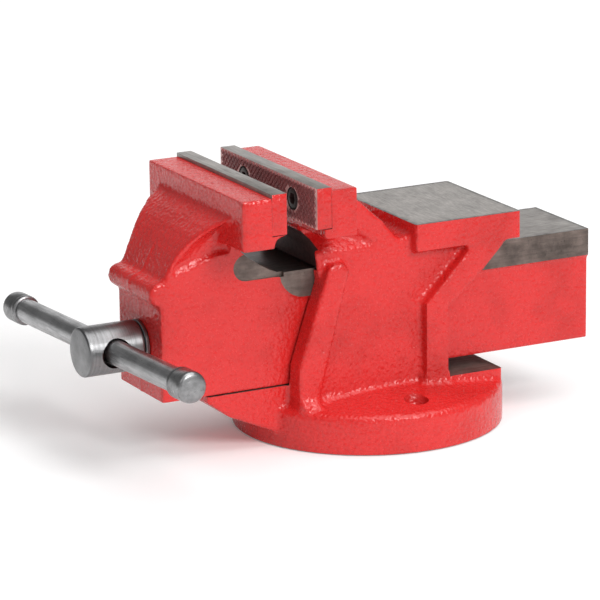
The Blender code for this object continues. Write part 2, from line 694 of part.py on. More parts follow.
def main():
    clear_scene()
    parts = collection("BenchVise")
    tools = collection("Cutters")
    tools.hide_render = True
    enamel = (0.55, 0.022, 0.028)
    steel = (0.42, 0.42, 0.43)
    dark = (0.12, 0.12, 0.12)

    body = make_static_body(parts, tools)
    body.data.materials.append(material("body_enamel", enamel, 0.3, 0.0))
    jaw = make_movable_jaw(parts, tools)
    jaw.data.materials.append(material("jaw_enamel", enamel, 0.3, 0.0))
    riders = [jaw]
    for name, face, facing in (("rear_jaw_plate", FIXED_FACE, -1), ("front_jaw_plate", MOVING_FACE, 1)):
        plate = make_plate(name, face, facing, parts, tools)
        plate.data.materials.append(material(name + "_steel", dark, 0.45, 0.8))
        end = name.split("_")[0]
        screws = []
        for x, side in ((SCREW_REACH, "near"), (-SCREW_REACH, "far")):
            screw = make_jaw_screw(f"{end}_plate_screw_{side}", x, face, facing, parts, tools)
            screw.data.materials.append(material(screw.name + "_steel", dark, 0.4, 0.9))
            screws.append(screw)
        if end == "front":
            riders += [plate, *screws]
    spindle = make_spindle(parts, tools)
    spindle.data.materials.append(material("spindle_steel", steel, 0.28, 1.0))
    thrust = make_ring("thrust_washer", SLIDE_FRONT - FIT - WASHER_THICK, SPINDLE_HEAD, WASHER_THICK, parts)
    inner = make_ring("inner_washer", INNER_WASHER, 28 * MM, WASHER_THICK, parts)
    keeper = make_ring("keeper_washer", KEEPER_FRONT, 28 * MM, WASHER_THICK, parts)
    spring = make_spring(parts)
    pin = make_split_pin(parts)
    nut = make_nut(parts, tools)
    bolt = make_nut_bolt(parts, tools)
    washer = make_nut_washer(parts)
    for piece in (thrust, inner, keeper, spring, pin, bolt, washer):
        piece.data.materials.append(material(piece.name + "_zinc", (0.5, 0.5, 0.48), 0.4, 1.0))
    nut.data.materials.append(material("nut_iron", dark, 0.6, 0.6))
    handle = make_handle(parts, tools)
    for piece in handle:
        piece.data.materials.append(material(piece.name + "_steel", steel, 0.25, 1.0))
    riders += [thrust, inner, spring]
    axis = Matrix.Translation((0, 0, SPINDLE_Z))
    parent_to_axis("jaw_slide_axis", axis, riders, parts)
    parent_to_axis("spindle_axis", axis, [spindle, pin, keeper], parts)
    parent_to_axis("handle_axis", handle_place(), handle, parts)


main()
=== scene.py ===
"""Bench vise: detailed castings, plates, spindle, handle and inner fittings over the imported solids."""

import math

import bmesh
import bpy
from bpy.props import FloatProperty, FloatVectorProperty, IntProperty, PointerProperty
from mathutils import Matrix, Vector


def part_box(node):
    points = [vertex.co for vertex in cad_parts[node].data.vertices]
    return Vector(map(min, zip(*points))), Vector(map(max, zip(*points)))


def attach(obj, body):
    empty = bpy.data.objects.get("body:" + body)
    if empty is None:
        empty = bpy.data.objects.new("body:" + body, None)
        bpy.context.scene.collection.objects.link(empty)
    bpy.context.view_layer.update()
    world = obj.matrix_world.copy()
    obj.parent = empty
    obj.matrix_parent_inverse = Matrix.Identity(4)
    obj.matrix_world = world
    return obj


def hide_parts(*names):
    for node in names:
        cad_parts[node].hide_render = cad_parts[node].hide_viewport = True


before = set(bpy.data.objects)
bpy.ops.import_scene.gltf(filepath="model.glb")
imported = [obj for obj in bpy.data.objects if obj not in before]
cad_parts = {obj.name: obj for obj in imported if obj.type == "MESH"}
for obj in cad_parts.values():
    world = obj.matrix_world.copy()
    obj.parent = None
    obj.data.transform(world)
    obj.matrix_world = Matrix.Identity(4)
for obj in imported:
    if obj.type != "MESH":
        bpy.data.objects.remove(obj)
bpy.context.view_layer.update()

bl_info = {
    "name": "Bench Vise",
    "version": (1, 0, 0),
    "blender": (4, 5, 0),
    "location": "View3D > Sidebar > Vise",
    "description": "Builds a red cast-iron bench vise with a round base, anvil and sliding jaw",
    "category": "Object",
}

MM = 0.001


def span(node, axis):
    """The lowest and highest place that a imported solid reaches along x, y or z, in millimetres."""
    low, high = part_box(node)
    index = "xyz".index(axis)
    return low[index] / MM, high[index] / MM


# Sizes and places in millimetres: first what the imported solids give, then what the shapes share.
GAP = 0.3  # What pieces that touch keep between them.
JAW_HALF = min(span("static_body", "x")[1], span("rear_jaw_plate", "x")[1])
SPINDLE_Z = sum(span("spindle", "z")) / 2
FIXED_FACE = span("rear_jaw_plate", "y")[0]
FIXED_SEAT = span("rear_jaw_plate", "y")[1] + GAP
MOVING_FACE = span("front_jaw_plate", "y")[1]
MOVING_SEAT = span("front_jaw_plate", "y")[0] - GAP
PLATE_BOTTOM, PLATE_TOP = span("rear_jaw_plate", "z")
PLATE_MIDDLE = (PLATE_TOP + PLATE_BOTTOM) / 2
NUT_MIDDLE = sum(span("spindle_nut", "y")) / 2
SCREW_REACH = 25.0
SLIDE_TOP = 84.66
SLIDE_BOTTOM = 29.72
SLIDE_REAR = 109.4
TONGUE_TOP = 29.2
HANDLE_Y = -136.9
TILT = math.radians(2.5)  # The handle bar's lean at rest.
CLEAR = 60  # Past the sides of the jaws and the slide.
FLANK_HALF = 35.0
TUNNEL_HALF = 25.17
SPINDLE_BORE = 9.1
SHANK_RADIUS = 8.8
PLATE_SCREW_HOLE = 3.3
NUT_BOLT_HOLE = 4.3


# ---------------------------------------------------------------- settings


class CastingSettings(bpy.types.PropertyGroup):
    body_grain: FloatProperty(
        name="Body grain",
        description="Size of the cells that the fixed body's casting is blended from",
        default=0.00098, min=0.0006, max=0.003, unit="LENGTH", precision=5,
    )
    jaw_grain: FloatProperty(
        name="Jaw grain",
        description="Size of the cells that the moving jaw's casting is blended from",
        default=0.00095, min=0.0006, max=0.003, unit="LENGTH", precision=5,
    )
    softness: IntProperty(
        name="Edge softness",
        description="Passes that round the cast edges and fill the inside corners",
        default=4, min=0, max=30,
    )
    seam_height: FloatProperty(
        name="Mould seam",
        description="How far the mould's parting line stands out on the moving jaw",
        default=0.00045, min=0.0, max=0.002, unit="LENGTH", precision=5,
    )
    web_depth: FloatProperty(
        name="Web depth",
        description="How far the body's side panels lie behind the ribs",
        default=0.0055, min=0.001, max=0.009, unit="LENGTH", precision=4,
    )


class FittingSettings(bpy.types.PropertyGroup):
    tooth_pitch: FloatProperty(
        name="Tooth pitch",
        description="Distance between the diamonds on the jaw plates",
        default=0.00325, min=0.001, max=0.005, unit="LENGTH", precision=5,
    )
    tooth_height: FloatProperty(
        name="Tooth height",
        description="Height of the diamonds on the jaw plates",
        default=0.00055, min=0.0002, max=0.0015, unit="LENGTH", precision=5,
    )
    thread_lead: FloatProperty(
        name="Thread lead",
        description="Travel of the jaw for one turn of the spindle",
        default=0.004, min=0.002, max=0.008, unit="LENGTH", precision=4,
    )
    thread_depth: FloatProperty(
        name="Thread depth",
        description="Depth of the spindle's thread",
        default=0.0019, min=0.0005, max=0.003, unit="LENGTH", precision=5,
    )
    spring_turns: FloatProperty(
        name="Spring turns",
        description="Coils in the take-up spring",
        default=3.5, min=1.0, max=8.0,
    )


def colour_setting(name, description, default):
    return FloatVectorProperty(
        name=name, description=description, default=default,
        min=0.0, max=1.0, size=3, subtype="COLOR",
    )


class FinishSettings(bpy.types.PropertyGroup):
    enamel: colour_setting("Enamel", "Red hammered enamel on the castings", (0.63, 0.020, 0.019))
    enamel_deep: colour_setting("Enamel in hollows", "Enamel where it lies thicker", (0.50, 0.014, 0.012))
    milled: colour_setting("Milled iron", "Bare iron left by the milling cutter", (0.20, 0.155, 0.135))
    ground: colour_setting("Ground iron", "Bare iron on the anvil and plate tops", (0.40, 0.37, 0.345))
    bright: colour_setting("Bright steel", "Spindle and handle", (0.36, 0.36, 0.365))
    zinc: colour_setting("Zinc plate", "Washers, bolt and pin", (0.56, 0.56, 0.53))
    oiled: colour_setting("Oiled steel", "Screws and spring", (0.10, 0.095, 0.09))


class StageSettings(bpy.types.PropertyGroup):
    azimuth: FloatProperty(
        name="Azimuth", description="Camera's turn about the vertical",
        default=math.radians(62.68), subtype="ANGLE",
    )
    elevation: FloatProperty(
        name="Elevation", description="Camera's height angle",
        default=math.radians(15.19), subtype="ANGLE",
    )
    roll: FloatProperty(
        name="Roll", description="Camera's lean",
        default=math.radians(-0.69), subtype="ANGLE",
    )
    distance: FloatProperty(
        name="Distance", description="From the camera to its target",
        default=1.9046, unit="LENGTH",
    )
    lens: FloatProperty(
        name="Lens", description="Focal length in millimetres", default=240.0,
    )
    light: FloatProperty(
        name="Light", description="Strength of the studio lamps", default=0.92, min=0.0,
    )


SETTINGS = {
    "vise_casting": CastingSettings,
    "vise_fitting": FittingSettings,
    "vise_finish": FinishSettings,
    "vise_stage": StageSettings,
}


# ---------------------------------------------------------------- shapes


def outline_of(corners, steps=5):
    """Corners are (a, b) or (a, b, radius) in millimetres; gives the outline with rounded corners."""
    count = len(corners)
    points = []
    for index, corner in enumerate(corners):
        here = Vector(corner[:2])
        if len(corner) < 3:
            points.append(here)
            continue
        before = (Vector(corners[index - 1][:2]) - here).normalized()
        after = (Vector(corners[(index + 1) % count][:2]) - here).normalized()
        half = before.angle(after) / 2
        reach = corner[2] / math.tan(half)
        centre = here + (before + after).normalized() * (corner[2] / math.sin(half))
        start = here + before * reach - centre
        turn = start.angle_signed(here + after * reach - centre)
        for step in range(steps + 1):
            points.append(centre + Matrix.Rotation(-turn * step / steps, 2) @ start)
    return points


def shell(bm, rings):
    """Joins rings of points into one closed shell with outward faces."""
    made = [[bm.verts.new(Vector(p) * MM) for p in ring] for ring in rings]
    faces = []
    for low, high in zip(made, made[1:]):
        for i in range(len(low)):
            j = (i + 1) % len(low)
            faces.append(bm.faces.new((low[i], low[j], high[j], high[i])))
    faces.append(bm.faces.new(made[0]))
    faces.append(bm.faces.new(made[-1]))
    bmesh.ops.recalc_face_normals(bm, faces=faces)


def add_prism(bm, corners, low, high):
    """An outline in (y, z) drawn along X."""
    points = outline_of(corners)
    shell(bm, [[(x, p[0], p[1]) for p in points] for x in (low, high)])


def add_box(bm, low, high):
    plan = ((low[0], low[1]), (high[0], low[1]), (high[0], high[1]), (low[0], high[1]))
    shell(bm, [[(x, y, z) for x, y in plan] for z in (low[2], high[2])])


def box_tool(*boxes):
    """A tool of plain boxes, each given by its lowest and highest corner."""
    bm = bmesh.new()
    for low, high in boxes:
        add_box(bm, low, high)
    return bm


def add_hull(bm, points):
    verts = [bm.verts.new(Vector(p) * MM) for p in points]
    made = bmesh.ops.convex_hull(bm, input=verts)
    spare = [v for v in made["geom_interior"] if isinstance(v, bmesh.types.BMVert)]
    bmesh.ops.delete(bm, geom=spare, context="VERTS")


def add_skin(bm, rows, closed=False):
    """Faces between neighbouring rows of vertices; a row of one vertex is a pole."""
    pairs = list(zip(rows, rows[1:]))
    if closed:
        pairs.append((rows[-1], rows[0]))
    faces = []
    for low, high in pairs:
        steps = max(len(low), len(high))
        for k in range(steps):
            m = (k + 1) % steps
            if len(low) == 1:
                corners = (low[0], high[k], high[m])
            elif len(high) == 1:
                corners = (low[k], high[0], low[m])
            else:
                corners = (low[k], high[k], high[m], low[m])
            faces.append(bm.faces.new(corners))
    bmesh.ops.recalc_face_normals(bm, faces=faces)


def add_turned(bm, profile, place, steps=48):
    """A profile of (radius, height) turned about place's Z axis; ends on the axis, or closes on itself."""
    rows = []
    for radius, height in profile:
        row = []
        for k in range(steps if radius else 1):
            angle = math.tau * k / steps
            point = Vector((radius * math.cos(angle), radius * math.sin(angle), height)) * MM
            row.append(bm.verts.new(place @ point))
        rows.append(row)
    add_skin(bm, rows, closed=profile[0][0] != 0)


def add_rod(bm, radius, start, end, sides=40):
    axis = Vector(end) - Vector(start)
    turn = Vector((0, 0, 1)).rotation_difference(axis.normalized()).to_matrix().to_4x4()
    place = Matrix.Translation(Vector(start) * MM) @ turn
    add_turned(bm, [(0, 0), (radius, 0), (radius, axis.length), (0, axis.length)], place, sides)


def add_wire(bm, path, radius, sides=12):
    """Round wire along a path in millimetres."""
    rings = []
    normal = None
    for i, point in enumerate(path):
        along = (path[min(i + 1, len(path) - 1)] - path[max(i - 1, 0)]).normalized()
        if normal is None:
            normal = along.orthogonal().normalized()
        normal = (normal - along * normal.dot(along)).normalized()
        side = along.cross(normal)
        ring = []
        for k in range(sides):
            angle = math.tau * k / sides
            ring.append(point + (normal * math.cos(angle) + side * math.sin(angle)) * radius)
        rings.append(ring)
    shell(bm, rings)


def object_from(name, bm, materials=()):
    mesh = bpy.data.meshes.new(name)
    bm.to_mesh(mesh)
    bm.free()
    obj = bpy.data.objects.new(name, mesh)
    bpy.context.scene.collection.objects.link(obj)
    for material in materials:
        mesh.materials.append(material)
    return obj


def bake(obj):
    """Replaces the object's mesh by its evaluated one and clears its modifiers."""
    bpy.context.view_layer.update()
    graph = bpy.context.evaluated_depsgraph_get()
    mesh = bpy.data.meshes.new_from_object(obj.evaluated_get(graph))
    old = obj.data
    obj.modifiers.clear()
    obj.data = mesh
    mesh.name = obj.name
    bpy.data.meshes.remove(old)


def smooth_shade(obj, angle=32.0):
    mesh = obj.data
    mesh.shade_smooth()
    mesh.set_sharp_from_angle(angle=math.radians(angle))


def cast(name, bm, grain, softness, keep, material):
    """Blends overlapping shells into one casting with rounded edges and filled inside corners."""
    obj = object_from(name, bm)
    blend = obj.modifiers.new("Blend", "REMESH")
    blend.mode = "VOXEL"
    blend.voxel_size = grain
    soften = obj.modifiers.new("Soften", "SMOOTH")
    soften.factor = 0.5
    soften.iterations = softness
    thin = obj.modifiers.new("Thin", "DECIMATE")
    thin.ratio = keep
    bake(obj)
    obj.data.materials.clear()
    obj.data.materials.append(material)
    return obj


def cast_twice(name, bm, hollows, grain, softness, material):
    """Blends the shells, hollows them, and blends again so that the hollows' edges are cast too."""
    rough = cast(name, bm, grain, softness=0, keep=1.0, material=material)
    for hollow in separate(hollows):
        cut_away(rough, hollow, material)
    shape = bmesh.new()
    shape.from_mesh(rough.data)
    bpy.data.objects.remove(rough, do_unlink=True)
    return cast(name, shape, grain, softness, keep=0.62, material=material)


def separate(shells):
    """A mesh for each shell, so that shells which overlap can be cut one after the other."""
    done = set()
    parts = []
    for first in shells.verts:
        if first in done:
            continue
        group = [first]
        done.add(first)
        for vert in group:
            for link in vert.link_edges:
                other = link.other_vert(vert)
                if other not in done:
                    done.add(other)
                    group.append(other)
        part = bmesh.new()
        copies = {vert: part.verts.new(vert.co) for vert in group}
        for face in shells.faces:
            if face.verts[0] in copies:
                part.faces.new([copies[vert] for vert in face.verts])
        parts.append(part)
    shells.free()
    return parts


def cut_away(obj, bm, material):
    """Cuts shells out of a piece; the cut faces take the given material."""
    tool = object_from(obj.name + "_tool", bm, [material])
    if material.name not in obj.data.materials:
        obj.data.materials.append(material)
    modifier = obj.modifiers.new("Cut", "BOOLEAN")
    modifier.operation = "DIFFERENCE"
    modifier.solver = "EXACT"
    modifier.use_self = False
    modifier.material_mode = "TRANSFER"
    modifier.object = tool
    bake(obj)
    bpy.data.objects.remove(tool, do_unlink=True)


def facing_along_y(x, y, z, facing=1):
    """A place whose Z axis points along +Y, or along -Y where facing is -1."""
    place = Matrix.Translation((x * MM, y * MM, z * MM))
    return place @ Matrix.Rotation(math.radians(-90 * facing), 4, "X")


def handle_place(turn=math.radians(90) - TILT):
    """The middle of the spindle's cross hole, with its Z axis turned down to the handle bar."""
    middle = Matrix.Translation((0.0, HANDLE_Y * MM, SPINDLE_Z * MM))
    return middle @ Matrix.Rotation(turn, 4, "Y")


def finish_piece(obj, body, slot, *nodes):
    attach(obj, body)
    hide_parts(*nodes)


def turned_piece(name, profile, place, finish, steps=48):
    """A piece turned on the lathe from one profile."""
    bm = bmesh.new()
    add_turned(bm, profile, place, steps)
    obj = object_from(name, bm, [look(finish)])
    smooth_shade(obj)
    return obj


def math_node(tree, kind, first, second=None):
    """Adds a Math node; each operand is a number or the output of another node."""
    node = tree.nodes.new("ShaderNodeMath")
    node.operation = kind
    for index, value in enumerate((first, second)):
        if isinstance(value, (int, float)):
            node.inputs[index].default_value = value
        elif value is not None:
            tree.links.new(value, node.inputs[index])
    return node.outputs[0]


def start_tree(name, sizes):
    """A geometry node tree with a named input for each size; gives the tree and the inputs' identifiers."""
    tree = bpy.data.node_groups.new(name, "GeometryNodeTree")
    for side in ("INPUT", "OUTPUT"):
        tree.interface.new_socket("Geometry", in_out=side, socket_type="NodeSocketGeometry")
    sockets = {}
    for label, value in sizes:
        socket = tree.interface.new_socket(label, in_out="INPUT", socket_type="NodeSocketFloat")
        socket.default_value = value
        sockets[label] = socket.identifier
    return tree, sockets


def end_tree(tree, geometry, finish):
    """Makes the tree's instances real, gives them their finish and hands them out."""
    solid = tree.nodes.new("GeometryNodeRealizeInstances")
    tree.links.new(geometry, solid.inputs[0])
    paint = tree.nodes.new("GeometryNodeSetMaterial")
    paint.inputs["Material"].default_value = look(finish)
    tree.links.new(solid.outputs[0], paint.inputs["Geometry"])
    tree.links.new(paint.outputs[0], tree.nodes.new("NodeGroupOutput").inputs[0])


# ---------------------------------------------------------------- finishes


class Surface:
    """A Principled material and short ways to add nodes to it."""

    def __init__(self, name, colour, roughness, metallic):
        self.material = bpy.data.materials.new(name)
        self.material.use_nodes = True
        self.nodes = self.material.node_tree.nodes
        self.links = self.material.node_tree.links
        self.shader = self.nodes["Principled BSDF"]
        self.set(self.shader, "Base Color", (*colour, 1.0))
        self.set(self.shader, "Roughness", roughness)
        self.set(self.shader, "Metallic", metallic)
        self.material.diffuse_color = (*colour, 1.0)
        self.place = self.nodes.new("ShaderNodeTexCoord").outputs["Object"]

    def set(self, node, socket, value):
        node.inputs[socket].default_value = value

    def link(self, output, node, socket):
        self.links.new(output, node.inputs[socket])

    def noise(self, scale, detail=3.0, roughness=0.55, stretch=None):
        vector = self.place
        if stretch:
            mapping = self.nodes.new("ShaderNodeMapping")
            mapping.inputs["Scale"].default_value = stretch
            self.links.new(self.place, mapping.inputs["Vector"])
            vector = mapping.outputs["Vector"]
        node = self.nodes.new("ShaderNodeTexNoise")
        self.link(vector, node, "Vector")
        self.set(node, "Scale", scale)
        self.set(node, "Detail", detail)
        self.set(node, "Roughness", roughness)
        return node.outputs["Fac"]

    def pointiness(self):
        return self.nodes.new("ShaderNodeNewGeometry").outputs["Pointiness"]

    def cells(self, scale, smooth):
        node = self.nodes.new("ShaderNodeTexVoronoi")
        node.feature = "SMOOTH_F1"
        self.link(self.place, node, "Vector")
        self.set(node, "Scale", scale)
        self.set(node, "Smoothness", smooth)
        return node.outputs["Distance"]

    def ramp(self, value, stops):
        node = self.nodes.new("ShaderNodeValToRGB")
        self.link(value, node, "Fac")
        elements = node.color_ramp.elements
        elements[0].position, elements[0].color = stops[0][0], self.shade(stops[0][1])
        elements[1].position, elements[1].color = stops[-1][0], self.shade(stops[-1][1])
        for position, colour in stops[1:-1]:
            elements.new(position).color = self.shade(colour)
        return node.outputs["Color"]

    def shade(self, colour):
        if isinstance(colour, (int, float)):
            return (colour, colour, colour, 1.0)
        return (*colour, 1.0)

    def mix(self, fac, first, second, blend="MIX"):
        node = self.nodes.new("ShaderNodeMix")
        node.data_type = "RGBA"
        node.blend_type = blend
        for socket, value in ((0, fac), (6, first), (7, second)):
            if isinstance(value, (int, float)):
                node.inputs[socket].default_value = value
            elif isinstance(value, tuple):
                node.inputs[socket].default_value = self.shade(value)
            else:
                self.links.new(value, node.inputs[socket])
        return node.outputs[2]

    def calc(self, kind, first, second=None):
        return math_node(self.material.node_tree, kind, first, second)

    def past(self, coordinate, centre, half):
        """How far a point lies outside a band of one coordinate."""
        return self.calc("SUBTRACT", self.calc("ABSOLUTE", self.calc("SUBTRACT", coordinate, centre)), half)

    def border(self, edge):
        """Worn dark line inside a rectangle: its centre, half size in X and Y and line width, in metres."""
        centre_x, centre_y, half_x, half_y, width = edge
        split = self.nodes.new("ShaderNodeSeparateXYZ")
        self.links.new(self.place, split.inputs[0])
        wobble = self.calc("MULTIPLY", self.calc("SUBTRACT", self.noise(260.0), 0.5), width * 2.5)
        over_x = self.past(split.outputs[0], centre_x, half_x)
        over_y = self.past(split.outputs[1], centre_y, half_y)
        reach = self.calc("ADD", self.calc("MAXIMUM", over_x, over_y), wobble)
        share = self.calc("DIVIDE", self.calc("ADD", reach, width * 2), width * 2)
        return self.ramp(share, [(0.0, 1.0), (0.55, 0.85), (1.0, 0.16)])

    def bump(self, height, strength, distance, under=None):
        node = self.nodes.new("ShaderNodeBump")
        self.set(node, "Strength", strength)
        self.set(node, "Distance", distance)
        self.link(height, node, "Height")
        if under is not None:
            self.link(under, node, "Normal")
        return node.outputs["Normal"]

    def use(self, colour=None, roughness=None, normal=None):
        if colour is not None:
            self.link(colour, self.shader, "Base Color")
        if roughness is not None:
            self.link(roughness, self.shader, "Roughness")
        if normal is not None:
            self.link(normal, self.shader, "Normal")
        return self.material


def scaled(colour, factor):
    return tuple(min(1.0, c * factor) for c in colour)


def hammered_enamel(name, colour, deep, ripple=1.0, chipped=True):
    """Glossy enamel over a sand casting: dimples, faint runs and a little unevenness in tone."""
    paint = Surface(name, colour, 0.27, 0.0)
    paint.set(paint.shader, "IOR", 1.5)
    broad = paint.noise(30.0, 4.0)
    dimples = paint.cells(480.0, 0.7)
    fine = paint.noise(620.0, 2.0)
    grit = paint.noise(2200.0, 2.0)
    tone = paint.ramp(broad, [(0.3, deep), (0.52, colour), (0.8, scaled(colour, 1.06))])
    hollow = paint.ramp(dimples, [(0.05, 0.86), (0.35, 1.0)])
    tone = paint.mix(0.6, tone, hollow, "MULTIPLY")
    if chipped:
        edge = paint.ramp(paint.pointiness(), [(0.515, 0.0), (0.60, 1.0)])
        chips = paint.ramp(paint.noise(330.0, 4.0), [(0.56, 0.0), (0.64, 0.75)])
        tone = paint.mix(paint.mix(1.0, edge, chips, "MULTIPLY"), tone, (0.10, 0.035, 0.03))
    rough = paint.ramp(fine, [(0.3, 0.30), (0.7, 0.17)])
    low = paint.bump(broad, 0.15, 0.0015)
    mid = paint.bump(dimples, 0.7 * ripple, 0.0005, low)
    top = paint.bump(fine, 0.8 * ripple, 0.0006, mid)
    grain = paint.bump(grit, 0.12, 0.00015, top)
    return paint.use(tone, rough, grain)


def machined(name, colour, stretch, rough, metallic, stain, marks_depth=0.22, edge=None):
    """Bare metal with tool marks along one direction and darker oil stains; edge darkens a border."""
    metal = Surface(name, colour, rough, metallic)
    marks = metal.noise(1.0, 4.0, 0.6, stretch)
    cloud = metal.noise(70.0, 5.0, 0.6)
    specks = metal.noise(900.0, 2.0)
    tone = metal.ramp(marks, [(0.25, scaled(colour, 0.72)), (0.55, colour), (0.8, scaled(colour, 1.35))])
    dirt = metal.ramp(cloud, [(0.35, 0.42), (0.62, 1.0)])
    tone = metal.mix(stain, tone, dirt, "MULTIPLY")
    pits = metal.ramp(specks, [(0.28, 0.45), (0.36, 1.0)])
    tone = metal.mix(0.6, tone, pits, "MULTIPLY")
    if edge:
        tone = metal.mix(1.0, tone, metal.border(edge), "MULTIPLY")
    rough_map = metal.ramp(marks, [(0.2, rough + 0.14), (0.8, rough - 0.08)])
    low = metal.bump(cloud, 0.08, 0.0006)
    top = metal.bump(marks, marks_depth, 0.00025, low)
    return metal.use(tone, rough_map, top)


def oversprayed(name, colour, paint, cover):
    """Steel with a thin worn coat of red over it, dark for the teeth and near-white pink for the painted
    highlight in the grooves; cover is how much of the red shows.
    """
    metal = Surface(name, colour, 0.5, 0.1)
    cloud = metal.noise(110.0, 5.0, 0.65)
    fine = metal.noise(1300.0, 3.0)
    low = tuple(c * (1 - cover) + p * cover * 0.75 for c, p in zip(colour, paint))
    high = tuple(c * (1 - cover) + p * cover * 1.1 for c, p in zip(colour, paint))
    tone = metal.ramp(cloud, [(0.35, scaled(low, 0.7)), (0.5, low), (0.65, high)])
    worn = metal.ramp(fine, [(0.3, 0.7), (0.7, 1.15)])
    tone = metal.mix(0.7, tone, worn, "MULTIPLY")
    return metal.use(tone, metal.ramp(fine, [(0.3, 0.6), (0.7, 0.4)]), metal.bump(fine, 0.2, 0.0003))


def make_finishes():
    finish = bpy.context.scene.vise_finish
    enamel, deep = tuple(finish.enamel), tuple(finish.enamel_deep)
    milled, ground = tuple(finish.milled), tuple(finish.ground)
    bright, oiled = tuple(finish.bright), tuple(finish.oiled)
    for name, ripple, chipped in (("body", 1.0, True), ("jaw", 0.85, True), ("plate", 0.9, False)):
        hammered_enamel(f"vise_{name}_red", enamel, deep, ripple, chipped)
    oversprayed("vise_grip", (0.32, 0.11, 0.11), enamel, 0.16)
    # The groove finish is a near-white pink: painted highlight standing for the light lines across the grip.
    oversprayed("vise_groove_sheen", (0.95, 0.60, 0.57), enamel, 0.1)
    slide_edge = (0.0, 0.035, 0.0246, 0.0740, 0.0012)
    anvil_edge = (0.0, 0.0366, 0.0347, 0.0281, 0.0014)
    # Name, colour, stretch of the tool marks, roughness, metallic, stain, depth of the marks, worn edge.
    metals = (
        ("milled", milled, (700, 90, 700), 0.42, 0.6, 1.0),
        # The slide's top is lighter than the milled faces: partly a ground finish, partly painted highlight
        # for the light its upward face catches.
        ("slide_top", scaled(ground, 0.85), (900, 120, 900), 0.38, 0.7, 0.5, 0.1, slide_edge),
        # The bore finish is a near-black brown: painted shade for the inside of the throat, holes, sockets
        # and bores.
        ("bore", (0.075, 0.03, 0.028), (500, 1200, 500), 0.55, 0.3, 0.4),
        ("ground", ground, (200, 1400, 1100), 0.36, 0.7, 0.4, 0.08, anvil_edge),
        ("plate", ground, (70, 1500, 900), 0.36, 0.75, 0.6, 0.15),
        ("spindle_steel", scaled(bright, 0.8), (40, 1500, 40), 0.33, 1.0, 0.55, 0.06),
        ("handle_steel", scaled(bright, 1.25), (60, 900, 900), 0.3, 1.0, 0.5, 0.1),
        ("cap_steel", scaled(bright, 0.9), (900, 300, 300), 0.3, 1.0, 0.5, 0.1),
        # The dark screw finish also serves as painted shade on the walls of the plates' screw sinks.
        ("screw_steel", oiled, (700, 700, 700), 0.4, 0.9, 0.4),
        ("zinc", tuple(finish.zinc), (500, 500, 500), 0.36, 1.0, 0.3),
        ("spring_steel", scaled(oiled, 1.6), (600, 600, 600), 0.35, 1.0, 0.2),
        ("nut_iron", scaled(milled, 0.8), (300, 300, 300), 0.6, 0.5, 0.6),
    )
    for name, *rest in metals:
        machined("vise_" + name, *rest)


def look(name):
    """One of the vise's finishes; all of them are made on the first call."""
    if "vise_nut_iron" not in bpy.data.materials:
        make_finishes()
    return bpy.data.materials["vise_" + name]


# ---------------------------------------------------------------- fixed body


def body_casting(web):
    """Shells of the fixed body; web is half the thickness of the wall between its flanges."""
    bm = bmesh.new()
    disc = [
        (0, 22.8), (35, 22.7), (49, 20.6), (62.6, 18.75), (64.6, 18.0), (65.4, 16.4), (65.4, -1.5),
        (41, -1.5), (41, 9), (12, 9), (12, -1.5), (0, -1.5),
    ]
    add_turned(bm, disc, Matrix.Identity(4), 128)
    core = [
        (-53.6, 12), (-53.4, 39.3), (-44.4, 66.2), (-40.6, 78), (-41.5, 85), (-42.5, 93),
        (-45.0, 100), (-47.0, 105.6), (-43.0, 108), (-38.0, 122), (-33.0, 124.5), (-18.4, 114.6, 8),
        (-6.2, 103.4), (2.2, 93.4, 4), (10.0, 96.8, 2), (14, 98), (60, 98), (57.8, 88.0),
        (44.6, 74.8), (25.9, 58.9, 3), (25.9, 12),
    ]
    add_prism(bm, core, -web, web)
    flange = [
        (-54.7, 9.5), (-54.3, 39.3), (-45.2, 66.2), (-37.6, 87.4, 4.0), (-26.0, 87.4, 4.0),
        (-32.3, 64.4), (-43.3, 23.8), (-45.7, 12),
    ]
    rib = [
        (13.3, 12), (13.5, 61.8), (36.3, 84.9), (40.0, 93), (57.4, 93), (57.6, 88.0),
        (44.6, 74.8), (26.0, 58.9), (26.0, 12),
    ]
    head = [
        (FIXED_SEAT - 3.7, 104.5, 0.8), (FIXED_SEAT - 3.7, 111.0), (FIXED_SEAT - 1.4, 112.0),
        (FIXED_SEAT - 1.4, 127.65), (-30.9, 127.65), (-30.9, 104.5, 0.8),
    ]
    anvil = [(8.0, 87.4), (8.0, 103.0), (65.0, 103.0), (65.3, 88.0)]
    tongue = [
        (-97.1, 31), (-97.1, 25.9), (-95.4, 25.0), (-85.6, 17.6), (-57.8, 5.3), (-50, 5.3), (-48, 31),
    ]
    rear_foot = [(15, 14), (15, 26.0), (55.4, 26.0), (55.4, 14)]
    for outline, half in (
        (flange, FLANK_HALF + 0.2), (rib, FLANK_HALF + 0.3), (head, JAW_HALF + 0.1),
        (anvil, FLANK_HALF + 0.4), (tongue, 24.15), (rear_foot, FLANK_HALF - 0.1),
    ):
        add_prism(bm, outline, -half, half)
    add_flare(bm, web)
    for sign in (1, -1):
        add_foot(bm, sign, -46, 26, web, 4.0)
        add_foot(bm, sign, -54, -44, FLANK_HALF, 3.5)
        add_foot(bm, sign, 12, 28, FLANK_HALF, 3.0)
    return bm


def add_flare(bm, web):
    """Thickens the web towards the base on both sides."""
    corners = ((-48, 20, 1.6), (18, 20, 1.6), (-33.5, 64.5, 0.15), (14, 64.5, 0.15))
    add_hull(bm, [(sign * (web + out), y, z) for sign in (1, -1) for y, z, out in corners])


def add_foot(bm, sign, low, high, x, out):
    """A fillet from y = low to high where a wall at x runs down onto the disc."""
    corners = ((x - 3, 18), (x + out, 20.5), (x - 3, 27.5))
    add_hull(bm, [(sign * a, y, z) for y in (low, high) for a, z in corners])


